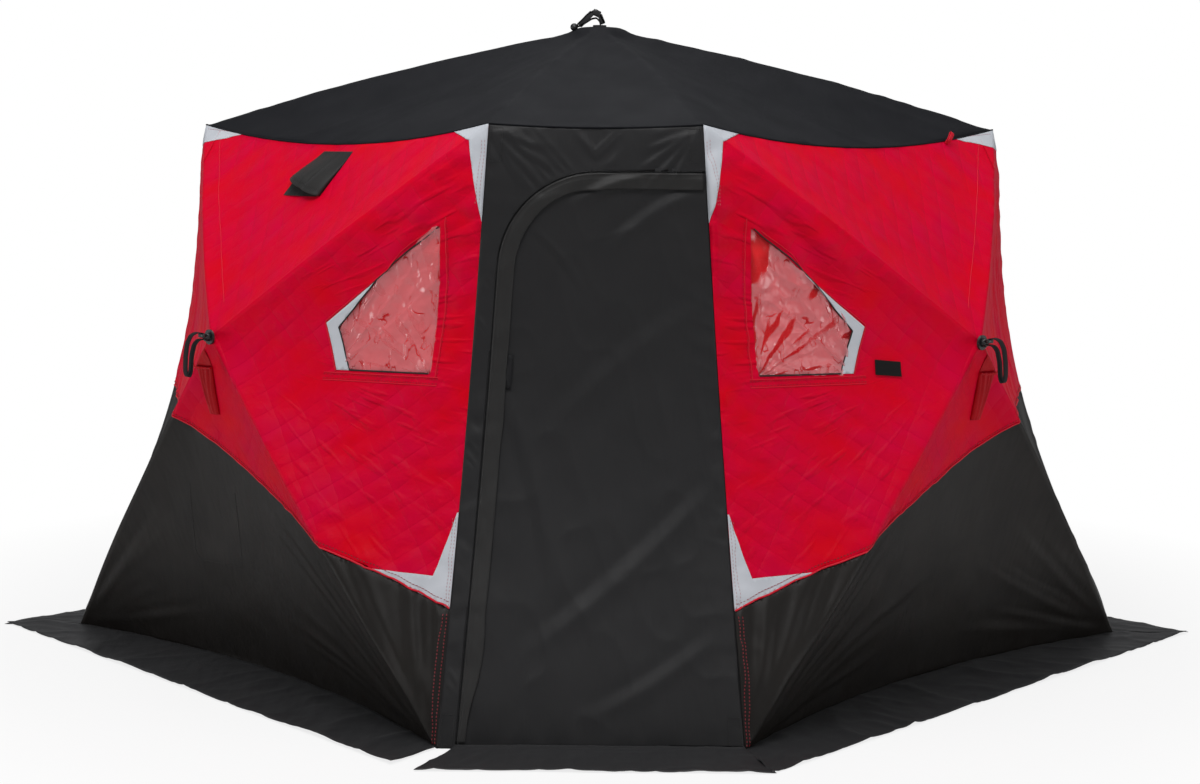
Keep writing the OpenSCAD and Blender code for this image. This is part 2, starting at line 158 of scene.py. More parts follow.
WALL_ANGLE = math.atan2(BASE_REACH, SIDE_BASE - BASE_HALF)
ALONG = np.array([math.cos(WALL_ANGLE), math.sin(WALL_ANGLE), 0.0])
OUT = np.array([math.sin(WALL_ANGLE), -math.cos(WALL_ANGLE), 0.0])
HUB_SHARE = HUB_HEIGHT / EAVE_HEIGHT
DOOR_HUB = BASE_FRONT + (TOP_FRONT - BASE_FRONT) * HUB_SHARE
HUB = (DOOR_HUB + BASE_SIDE + (TOP_SIDE - BASE_SIDE) * HUB_SHARE) / 2 + OUT * HUB_PUSH

# Outlines on a wide wall: (distance from the foot of the door seam, height)
SEAM = [(-0.4, 0.115), (0.085, 0.355), (0.29, 0.448), (0.82, 0.6433), (1.15, 0.8014), (1.445, 0.82),
        (2.4, 0.88)]
WINDOW = [(0.28, 1.394), (0.3705, 1.3155), (0.4525, 1.2292), (0.548, 1.101), (0.508, 0.98), (0.288, 0.98)]
BORDER = [(0.4115, 1.2723), (0.582, 1.1123), (0.542, 0.98), (0.508, 0.98), (0.548, 1.101),
          (0.4525, 1.2292)]
PATCH_FRONT = [(0.02, 1.43), (0.1, 1.43), (0.178, 1.41), (0.216, 1.636), (0.335, 1.662), (0.36, 1.8),
               (0.02, 1.8)]
PATCH_SIDE = [(1.38, 1.8), (1.38, 1.6505), (1.59, 1.612), (1.8, 1.612), (1.8, 1.8)]
PATCH_LOW = [(0.05, 0.62), (0.141, 0.605), (0.148, 0.436), (0.29, 0.448), (0.29, 0.30), (-0.1, 0.20),
             (-0.1, 0.62)]
HOOD = [(0.765, 1.600), (0.915, 1.600), (0.993, 1.522), (0.802, 1.468)]

# How the front right wall is mirrored to each wall
WALLS = {
    "front_left": (-1, 1, 1), "front_right": (1, 1, 1), "back_left": (-1, -1, 1), "back_right": (1, -1, 1),
}


# ---- Small helpers ----

NOISE_CELLS = 64


def hump(t, power):
    """0 at both ends of t = 0 to 1, and 1 in the middle."""
    return np.clip(4 * t * (1 - t), 0, None) ** power


def smooth(x, low, high):
    """0 below low, 1 above high and an even step between."""
    t = np.clip((np.asarray(x, float) - low) / (high - low), 0, 1)
    return t * t * (3 - 2 * t)


def noise(u, v, seed):
    """Even noise from -1 to 1 over a plane, with cells one unit wide."""
    table = np.random.default_rng(seed).uniform(-1, 1, (NOISE_CELLS, NOISE_CELLS))
    iu, iv = np.floor(u).astype(int), np.floor(v).astype(int)
    fu, fv = u - iu, v - iv
    su, sv = fu * fu * (3 - 2 * fu), fv * fv * (3 - 2 * fv)
    iu, iv, ju, jv = (i % NOISE_CELLS for i in (iu, iv, iu + 1, iv + 1))
    low = table[iu, iv] * (1 - su) + table[ju, iv] * su
    high = table[iu, jv] * (1 - su) + table[ju, jv] * su
    return low * (1 - sv) + high * sv


def crests(u, v, seed):
    """Narrow ridges, 1 on their crests and near 0 between them."""
    return (1 - np.abs(noise(u, v, seed))) ** 4


def turned(x, y, angle):
    """Plane coordinates turned by an angle in degrees: along it, and across it."""
    c, s = math.cos(math.radians(angle)), math.sin(math.radians(angle))
    return x * c + y * s, y * c - x * s


def inside(points, outline):
    """Which (x, y) rows of points lie inside a closed outline."""
    x, y = points[:, 0], points[:, 1]
    found = np.zeros(len(points), bool)
    for (ax, ay), (bx, by) in zip(outline, outline[1:] + outline[:1]):
        if ay != by:
            found ^= ((ay > y) != (by > y)) & (x < ax + (bx - ax) * (y - ay) / (by - ay))
    return found


def distance_to_line(points, start, end):
    """How far (x, y) rows of points are from the stretch between two points."""
    start, ahead = np.array(start), np.array(end) - np.array(start)
    t = np.clip((points - start) @ ahead / max(ahead @ ahead, 1e-12), 0, 1)
    return np.linalg.norm(points - start - t[:, None] * ahead, axis=1)


def distance_to_path(points, path):
    return np.min([distance_to_line(points, a, b) for a, b in zip(path, path[1:])], axis=0)


def read_points(bm):
    return np.array([v.co[:] for v in bm.verts]).reshape(-1, 3)


def write_points(bm, points):
    for vertex, point in zip(bm.verts, points.tolist()):
        vertex.co = point


def normals_of(bm):
    bm.normal_update()
    return np.array([v.normal[:] for v in bm.verts]).reshape(-1, 3)


def centres_of(bm):
    return np.array([f.calc_center_median()[:] for f in bm.faces]).reshape(-1, 3)


def areas_of(bm):
    return np.array([f.calc_area() for f in bm.faces])


def new_grid(columns, rows):
    """A flat 1 by 1 grid, with its points' shares across it and up it."""
    bm = bmesh.new()
    bmesh.ops.create_grid(bm, x_segments=columns, y_segments=rows, size=0.5)
    flat = read_points(bm) + 0.5
    return bm, flat[:, 0], flat[:, 1]


def new_disc(corners, detail):
    """A flat many-cornered sheet that faces up, cut finely."""
    bm = bmesh.new()
    bmesh.ops.create_circle(bm, cap_ends=True, cap_tris=True, segments=corners, radius=1)
    bmesh.ops.subdivide_edges(bm, edges=bm.edges[:], cuts=detail - 1, use_grid_fill=True)
    face_along(bm, UP)
    return bm


def face_along(bm, way):
    """Turns a sheet over if it faces away from a direction."""
    bm.normal_update()
    if sum((f.normal for f in bm.faces), Vector()).dot(Vector(way)) < 0:
        bmesh.ops.reverse_faces(bm, faces=bm.faces)


def link_mesh(name, mesh, *materials):
    obj = bpy.data.objects.new(name, mesh)
    bpy.context.collection.objects.link(obj)
    for material in materials:
        mesh.materials.append(material)
    mesh.polygons.foreach_set("use_smooth", [True] * len(mesh.polygons))
    return obj


def finish_piece(bm, name, *materials, body="root", uv=None):
    """Makes an object of a bmesh; uv gives cloth coordinates in metres from its points."""
    mesh = bpy.data.meshes.new(name)
    points = read_points(bm)
    bm.to_mesh(mesh)
    bm.free()
    if uv is not None:
        corner = np.zeros(len(mesh.loops), int)
        mesh.loops.foreach_get("vertex_index", corner)
        flat = np.column_stack(uv(points))[corner]
        mesh.uv_layers.new(name="cloth").data.foreach_set("uv", flat.ravel())
    obj = link_mesh(name, mesh, *materials)
    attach(obj, body)
    return obj


def thicken(obj, thickness, lining=False, outward=False):
    """A thickness inwards from a sheet's outer face, or outwards from its inner one."""
    solid = obj.modifiers.new("thickness", "SOLIDIFY")
    solid.thickness = thickness
    solid.offset = 1 if outward else -1
    if lining:
        solid.material_offset = 1


def tube(name, paths, radius, material, body="root", sides=2):
    """Round cords along paths of points, as one mesh."""
    curve = bpy.data.curves.new(name, "CURVE")
    curve.dimensions = "3D"
    curve.bevel_depth = radius
    curve.bevel_resolution = sides
    curve.use_fill_caps = True
    for path in paths:
        spline = curve.splines.new("POLY")
        spline.points.add(len(path) - 1)
        spline.points.foreach_set("co", np.column_stack([path, np.ones(len(path))]).ravel())
    holder = bpy.data.objects.new(name, curve)
    mesh = bpy.data.meshes.new_from_object(holder)
    bpy.data.objects.remove(holder)
    bpy.data.curves.remove(curve)
    mesh.name = name
    mesh.materials.clear()
    obj = link_mesh(name, mesh, material)
    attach(obj, body)
    return obj


def resample(path, spacing):
    """Points evenly spaced along a path."""
    path = np.array(path, float)
    gaps = np.linalg.norm(np.diff(path, axis=0), axis=1)
    run = np.concatenate([[0], np.cumsum(gaps)])
    count = max(2, int(round(run[-1] / spacing)) + 1)
    at = np.linspace(0, run[-1], count)
    return np.column_stack([np.interp(at, run, path[:, i]) for i in range(path.shape[1])])


def smoothed(outline, spacing, rounds):
    """A path through an outline, with its corners rounded off."""
    line = resample(outline, spacing)
    for _ in range(rounds):
        line[1:-1] = (line[:-2] + 2 * line[1:-1] + line[2:]) / 4
    return line


def way_along(line):
    """The way along a flat path at each of its points, one unit long."""
    ahead = np.gradient(np.array(line), axis=0)
    return ahead / np.linalg.norm(ahead, axis=1)[:, None]


def ribbon_sheet(name, path, sides, material, body="root", thickness=0.0015):
    """A flat strap along a path; sides gives the way across it at each point, half a width long."""
    bm, across, along = new_grid(2, len(path) - 1)
    at = np.clip(np.round(along * (len(path) - 1)).astype(int), 0, len(path) - 1)
    write_points(bm, np.array(path)[at] + np.array(sides)[at] * (2 * across - 1)[:, None])
    obj = finish_piece(bm, name, material, body=body, uv=lambda p: (p[:, 0] + p[:, 1], p[:, 2]))
    solid = obj.modifiers.new("thickness", "SOLIDIFY")
    solid.thickness = thickness
    solid.offset = 0
    return obj


def bevelled_box(name, size, bevel, segments, turn, place, material):
    """A box with rounded edges, turned and then moved to its place."""
    bm = bmesh.new()
    bmesh.ops.create_cube(bm, size=1)
    bmesh.ops.scale(bm, verts=bm.verts, vec=size)
    bmesh.ops.bevel(bm, geom=bm.edges[:], offset=bevel, segments=segments, profile=0.5, affect="EDGES",
                    material=-1)
    bmesh.ops.rotate(bm, verts=bm.verts, matrix=turn)
    bmesh.ops.translate(bm, verts=bm.verts, vec=Vector(place))
    return finish_piece(bm, name, material)


def declare_sheet(obj, area=None):
    """Works out a sheet's area, from its own mesh when none is given; the area is not kept or used."""
    if area is None:
        area = sum(polygon.area for polygon in obj.data.polygons)


# ---- Materials ----

def feed(tree, node, sockets):
    """Sets a node's inputs, each to a value or to another node's output."""
    for key, value in sockets.items():
        if isinstance(value, bpy.types.NodeSocket):
            tree.links.new(value, node.inputs[key])
        else:
            node.inputs[key].default_value = value


def add(tree, kind, sockets=(), **properties):
    """The outputs of a new shader node, with its properties set and its inputs fed."""
    made = tree.nodes.new(kind)
    for key, value in properties.items():
        setattr(made, key, value)
    feed(tree, made, dict(sockets))
    return made.outputs


def math_node(tree, operation, *values):
    return add(tree, "ShaderNodeMath", enumerate(values), operation=operation)[0]


def times(tree, *values):
    return reduce(lambda a, b: math_node(tree, "MULTIPLY", a, b), values)


def total(tree, *values):
    return reduce(lambda a, b: math_node(tree, "ADD", a, b), values)


def noise_node(tree, vector, scale, detail, distortion=0.0):
    given = {"Vector": vector, "Scale": scale, "Detail": detail, "Distortion": distortion}
    return add(tree, "ShaderNodeTexNoise", given)["Fac"]


def step_node(tree, value, low, high, kind="SMOOTHSTEP", floor=0.0):
    """Turns a value's stretch from low to high into one from floor to 1."""
    given = {"Value": value, "From Min": low, "From Max": high, "To Min": floor}
    return add(tree, "ShaderNodeMapRange", given, interpolation_type=kind)[0]


def lean_node(tree, vector, turn, squeeze):
    """Coordinates turned in their plane and drawn out one way."""
    given = {"Vector": vector, "Rotation": (0, 0, turn), "Scale": (1.0, squeeze, 1.0)}
    return add(tree, "ShaderNodeMapping", given)[0]


def fan_node(tree, first, second, turns, reach):
    """Coordinates that fan out from a point: the angle round it, and the distance from it."""
    around = math_node(tree, "ARCTAN2", first, second)
    squares = total(tree, times(tree, first, first), times(tree, second, second))
    away = math_node(tree, "SQRT", squares)
    return add(tree, "ShaderNodeCombineXYZ", {0: times(tree, around, turns), 1: times(tree, away, reach)})[0]


def bump_node(tree, height, distance=1.0):
    return add(tree, "ShaderNodeBump", {"Height": height, "Distance": distance})["Normal"]


def cloth_place(tree):
    """The cloth coordinates in metres, whole and as their two parts."""
    uv = add(tree, "ShaderNodeUVMap", uv_map="cloth")[0]
    parts = add(tree, "ShaderNodeSeparateXYZ", {0: uv})
    return uv, parts[0], parts[1]


def new_group(name, inputs, outputs):
    """A node group: inputs give each label's first value, and outputs each label's kind."""
    tree = bpy.data.node_groups.new(name, "ShaderNodeTree")
    for label, value in inputs.items():
        kind = "NodeSocketColor" if isinstance(value, tuple) else "NodeSocketFloat"
        tree.interface.new_socket(label, in_out="INPUT", socket_type=kind).default_value = value
    for label, kind in outputs.items():
        tree.interface.new_socket(label, in_out="OUTPUT", socket_type=kind)
    return tree, add(tree, "NodeGroupInput"), tree.nodes.new("NodeGroupOutput")


QUILT_PITCH = 0.058
QUILT_SLANTS = (0.80, -0.62)
QUILT_DEPTH = 0.0026
THREAD_DEPTH = 0.00006
CREASE_DEPTH = 0.0022
PUCKER_DEPTH = 0.0028
PUCKER_MIDDLE = (0.905, 1.059)
FAN_CORNER = (0.275, 0.965)


def make_cloth_group():
    """Woven cloth: an uneven colour, uneven roughness and a height with threads and small crinkles."""
    tree, given, result = new_group("woven cloth", {
        "Tone": (0.5, 0.5, 0.5, 1), "Shade": (0.3, 0.3, 0.3, 1), "Threads": 500.0, "Roughness": 0.5,
        "Crinkle": 1.0, "Crinkle Size": 30.0, "Pucker": 0.0, "Quilt": 0.0,
    }, {"Color": "NodeSocketColor", "Roughness": "NodeSocketFloat", "Height": "NodeSocketFloat"})
    uv, along, up = cloth_place(tree)
    blotch = noise_node(tree, uv, 7, 5)
    share = step_node(tree, blotch, 0.3, 0.7, "LINEAR")
    colour = add(tree, "ShaderNodeMix", {"Factor": share, "A": given["Tone"], "B": given["Shade"]},
                 data_type="RGBA")["Result"]
    rough = total(tree, given["Roughness"], math_node(tree, "MULTIPLY_ADD", blotch, 0.16, -0.08))
    # Threads, both ways
    turns = times(tree, given["Threads"], 2 * math.pi)
    warp, weft = (math_node(tree, "SINE", times(tree, way, turns)) for way in (along, up))
    threads = times(tree, total(tree, warp, weft), THREAD_DEPTH)
    # Soft creases, longer one way than the other
    crinkle = noise_node(tree, lean_node(tree, uv, 0.9, 0.32), given["Crinkle Size"], 1.5, 0.25)
    crest = times(tree, crinkle, given["Crinkle"], CREASE_DEPTH)
    # Long soft puckers that fan out from the hub
    out = math_node(tree, "SUBTRACT", along, PUCKER_MIDDLE[0])
    fall = math_node(tree, "SUBTRACT", PUCKER_MIDDLE[1], up)
    streak = noise_node(tree, fan_node(tree, out, fall, 26.0, 7.0), 1.0, 1.0, 0.2)
    pucker = times(tree, step_node(tree, streak, 0.54, 0.78), given["Pucker"], PUCKER_DEPTH)
    # A diamond quilt: two ways of stitched rows that draw the cloth in, drawn tighter in some places
    pads = []
    for slant in QUILT_SLANTS:
        across = total(tree, times(tree, along, math.cos(slant) / QUILT_PITCH),
                       times(tree, up, math.sin(slant) / QUILT_PITCH))
        wander = math_node(tree, "MULTIPLY_ADD", blotch, 0.30, across)
        row = math_node(tree, "ABSOLUTE", math_node(tree, "SINE", times(tree, wander, math.pi)))
        pads.append(math_node(tree, "POWER", row, 0.55))
    tight = step_node(tree, blotch, 0.38, 0.62, floor=0.25)
    quilted = times(tree, total(tree, *pads), tight, times(tree, given["Quilt"], QUILT_DEPTH))
    height = total(tree, total(tree, threads, quilted), total(tree, crest, pucker))
    feed(tree, result, {"Color": colour, "Roughness": rough, "Height": height})
    return tree


CLOTH_GROUP = make_cloth_group()


def new_material(name):
    material = bpy.data.materials.new(name)
    material.use_nodes = True
    return material, material.node_tree, material.node_tree.nodes["Principled BSDF"]


def cloth_material(name, tone, shade, roughness, threads=520.0, crinkle=1.0, crinkle_size=30.0, pucker=0.0,
                   quilt=0.0, specular=0.3, sheen=0.2):
    """A cloth of the woven group; its puckers lie where the piece's own attribute says."""
    material, tree, shader = new_material(name)
    if pucker:
        pucker = times(tree, add(tree, "ShaderNodeAttribute", attribute_name="puckered")["Fac"], pucker)
    weave = add(tree, "ShaderNodeGroup", node_tree=CLOTH_GROUP, sockets={
        "Tone": (*tone, 1), "Shade": (*shade, 1), "Threads": threads, "Roughness": roughness,
        "Crinkle": crinkle, "Crinkle Size": crinkle_size, "Pucker": pucker, "Quilt": quilt,
    })
    feed(tree, shader, {
        "Base Color": weave["Color"], "Roughness": weave["Roughness"],
        "Normal": bump_node(tree, weave["Height"]), "Specular IOR Level": specular,
        "Sheen Weight": sheen, "Sheen Tint": (1, 1, 1, 1), "Sheen Roughness": 0.4,
    })
    return material


def plain_material(name, colour, roughness, relief=0.0, relief_scale=40.0):
    """A solid material with a slightly uneven colour, roughness and surface."""
    material, tree, shader = new_material(name)
    grain = noise_node(tree, add(tree, "ShaderNodeTexCoord")["Object"], relief_scale, 6)
    dark, light = (*[c * 0.8 for c in colour], 1), (*[min(1, c * 1.2) for c in colour], 1)
    mix = add(tree, "ShaderNodeMix", {"Factor": grain, "A": dark, "B": light}, data_type="RGBA")
    feed(tree, shader, {
        "Base Color": mix["Result"],
        "Roughness": math_node(tree, "MULTIPLY_ADD", grain, 0.2, roughness - 0.1),
    })
    if relief:
        feed(tree, shader, {"Normal": bump_node(tree, grain, relief)})
    return material


RED = cloth_material("red satin cloth", (0.60, 0.0, 0.010), (0.55, 0.0, 0.034), 0.44, crinkle=0.6,
                     pucker=1.2, quilt=1.0, specular=0.05, sheen=0.0)
RED_COVER = cloth_material("red window cover", (0.78, 0.008, 0.012), (0.60, 0.0, 0.004), 0.6, crinkle=1.2,
                           specular=0.15, sheen=0.0)
RED_DEEP = cloth_material("deep red cloth", (0.42, 0.0, 0.006), (0.30, 0.0, 0.004), 0.5, specular=0.15,
                          sheen=0.0)
RED_PIPING = cloth_material("red piping", (0.62, 0.0, 0.02), (0.52, 0.0, 0.015), 0.5, crinkle=0.4, sheen=0.0)
BLACK_WALL = cloth_material("black wall cloth", (0.0102, 0.0084, 0.0070), (0.0080, 0.0068, 0.0060), 0.46,
                            crinkle=0.9, specular=0.20, sheen=0.0)
BLACK_PANEL = cloth_material("black panel cloth", (0.0125, 0.0122, 0.0130), (0.0100, 0.0098, 0.0106), 0.50,
                             crinkle=0.9, specular=0.26, sheen=0.02)
ROOF_CLOTH = cloth_material("slate roof cloth", (0.0084, 0.0088, 0.0110), (0.0066, 0.0070, 0.0088), 0.58,
                            crinkle=0.6, specular=0.08, sheen=0.0)
TRIM_CLOTH = cloth_material("black trim cloth", (0.0110, 0.0105, 0.0100), (0.0085, 0.0080, 0.0078), 0.55,
                            crinkle=1.2, specular=0.35, sheen=0.03)
SKIRT_CLOTH = cloth_material("black skirt cloth", (0.0140, 0.0142, 0.0156), (0.0105, 0.0107, 0.0118), 0.48,
                             crinkle=2.4, crinkle_size=18.0, specular=0.40, sheen=0.05)
LINING = cloth_material("black lining", (0.0150, 0.0150, 0.0160), (0.0120, 0.0120, 0.0130), 0.75,
                        crinkle=0.8, specular=0.2, sheen=0.0)
REFLECTIVE = cloth_material("pale reflective cloth", (0.54, 0.56, 0.60), (0.46, 0.48, 0.52), 0.42,
                            threads=900.0, crinkle=0.5, specular=0.4, sheen=0.0)
HOOK_TAPE = cloth_material("black hook tape", (0.006, 0.006, 0.006), (0.004, 0.004, 0.004), 0.90,
                           threads=300.0, specular=0.2)
WEBBING = cloth_material("black webbing", (0.009, 0.009, 0.010), (0.007, 0.007, 0.008), 0.7, threads=350.0,
                         crinkle=0.4, specular=0.2, sheen=0.0)
STITCH = cloth_material("dark thread", (0.012, 0.011, 0.011), (0.010, 0.009, 0.009), 0.7, crinkle=0.2)
RED_STITCH = cloth_material("dark red thread", (0.26, 0.0, 0.010), (0.20, 0.0, 0.008), 0.6, crinkle=0.2)
PINK_STITCH = cloth_material("pink thread", (0.42, 0.16, 0.18), (0.36, 0.12, 0.14), 0.6, crinkle=0.2)
HUB_PLASTIC = plain_material("black hub plastic", (0.010, 0.010, 0.011), 0.42, 0.0006, 300.0)
BUCKLE = plain_material("black buckle plastic", (0.014, 0.014, 0.015), 0.35, 0.0004, 300.0)
FIBREGLASS = plain_material("dark fibreglass", (0.045, 0.045, 0.05), 0.38, 0.0002, 160.0)
ZIP_PLASTIC = plain_material("black zip teeth", (0.012, 0.012, 0.012), 0.4)


def make_crease_group():
    """Creases of a clear sheet: thin wandering cracks, and wide bands that fan out from a lower corner; both
    show less of its painted reflection.
    """
    tree, given, result = new_group("clear sheet creases", {"Fan": 0.5},
                                    {"Painted Reflection": "NodeSocketFloat", "Height": "NodeSocketFloat"})
    uv, along, up = cloth_place(tree)
    # Thin cracks, where a noise passes its middle
    small = noise_node(tree, lean_node(tree, uv, 0.5, 0.40), 26.0, 2.0, 0.6)
    off = math_node(tree, "ABSOLUTE", math_node(tree, "SUBTRACT", small, 0.5))
    patches = step_node(tree, noise_node(tree, uv, 14.0, 2.0, 0.6), 0.47, 0.60)
    cracks = times(tree, step_node(tree, off, 0.020, 0.006), patches)
    # Wide bands round the corner
    out = math_node(tree, "SUBTRACT", along, FAN_CORNER[0])
    rise = math_node(tree, "SUBTRACT", up, FAN_CORNER[1])
    soft_rays = noise_node(tree, fan_node(tree, rise, out, 5.5, 4.5), 1.0, 1.0, 0.3)
    rays = times(tree, step_node(tree, soft_rays, 0.56, 0.60), given["Fan"])
    # Cracks and bands let less of the sheet's pink painted reflection show, so they are painted dark creases
    dark = math_node(tree, "MINIMUM", total(tree, cracks, rays), 1.0)
    relief = total(tree, times(tree, small, 0.012), times(tree, soft_rays, given["Fan"], 0.02))
    feed(tree, result, {
        "Painted Reflection": math_node(tree, "MULTIPLY_ADD", dark, -0.48, 0.52),
        "Height": total(tree, relief, times(tree, cracks, -0.0012)),
    })
    return tree


CREASE_GROUP = make_crease_group()


def make_clear_sheet(name, fan):
    """The windows' clear sheet: mostly see-through, with a bright coat and creases; its pink colour is a
    painted reflection of the bright surroundings.
    """
    material, tree, shader = new_material(name)
    creases = add(tree, "ShaderNodeGroup", {"Fan": fan}, node_tree=CREASE_GROUP)
    # The pink base colour is a painted reflection; the alpha sets how much of it lies over the cover behind
    feed(tree, shader, {
        "Alpha": creases["Painted Reflection"], "Normal": bump_node(tree, creases["Height"]),
        "Base Color": (0.78, 0.24, 0.26, 1), "Roughness": 0.12, "Specular IOR Level": 0.8,
        "Coat Weight": 1.0, "Coat Roughness": 0.03,
    })
    return material


CLEAR = make_clear_sheet("clear window sheet", 0.15)
CLEAR_FANNED = make_clear_sheet("clear window sheet with a fan", 1.0)

# ---- Wide walls ----

HUB_FLAT = (HUB @ ALONG - BASE_FRONT @ ALONG, HUB_HEIGHT)
TOP_FRONT_FLAT = ((TOP_FRONT - BASE_FRONT) @ ALONG, EAVE_HEIGHT)
TOP_SIDE_FLAT = ((TOP_SIDE - BASE_FRONT) @ ALONG, EAVE_HEIGHT)
BASE_SIDE_FLAT = ((BASE_SIDE - BASE_FRONT) @ ALONG, 0.0)
BASE_FRONT_FLAT = (0.0, 0.0)
CREASE_ENDS = (TOP_FRONT_FLAT, TOP_SIDE_FLAT, BASE_SIDE_FLAT, BASE_FRONT_FLAT)


def eave_edge(t):
    t = np.asarray(t, float)[..., None]
    return TOP_FRONT + (TOP_SIDE - TOP_FRONT) * t - UP * (EAVE_DROP * hump(t, 1))


def side_edge(t):
    t = np.asarray(t, float)[..., None]
    return TOP_SIDE + (BASE_SIDE - TOP_SIDE) * t - ACROSS * (SIDE_DRAW * hump(t, 1.5))


def base_edge(t):
    t = np.asarray(t, float)[..., None]
    return BASE_SIDE + (BASE_FRONT - BASE_SIDE) * t - OUT * (BASE_DRAW * hump(t, 1))


def door_edge(t):
    t = np.asarray(t, float)[..., None]
    return BASE_FRONT + (TOP_FRONT - BASE_FRONT) * t + BACK * (PANEL_DRAW * hump(t, 1.5))


EDGES = (eave_edge, side_edge, base_edge, door_edge)


def on_wall(points):
    """(distance along, height) of points of the front right wall."""
    return np.column_stack([(points - BASE_FRONT) @ ALONG, points[:, 2]])


EAVE_RIM, SIDE_RIM, BASE_RIM, DOOR_RIM = RIMS = [on_wall(edge(np.linspace(0, 1, 25))) for edge in EDGES]
RIM = np.concatenate(RIMS)


def wall_surface(flat):
    """Places points of a diamond with corners 1 from its middle on the curved wall."""
    x, y = flat[:, 0], flat[:, 1]
    s = np.abs(x) + np.abs(y)
    safe = np.maximum(s, 1e-9)
    side = np.where(x >= 0, np.where(y >= 0, 0, 1), np.where(y < 0, 2, 3))
    t = np.clip(np.choose(side, [x / safe, -y / safe, -x / safe, y / safe]), 0, 1)
    rim = np.zeros((len(flat), 3))
    for number, edge in enumerate(EDGES):
        rim[side == number] = edge(t[side == number])
    bow = ROD_BOW * hump(np.clip(s, 0, 1), 1) * np.abs(2 * t - 1) ** 3
    return HUB + (rim - HUB) * s[:, None] + OUT * bow[:, None]


def facet_of(flat):
    """Which of the four facets around the hub holds each (along, height) point."""
    hub = np.array(HUB_FLAT)
    corners = [np.array(end) - hub for end in CREASE_ENDS]
    p = flat - hub
    side = [c[0] * p[:, 1] - c[1] * p[:, 0] for c in corners]
    facet = np.full(len(flat), 3)
    for k in range(4):
        facet[(side[k] <= 0) & (side[(k + 1) % 4] > 0)] = k
    return facet


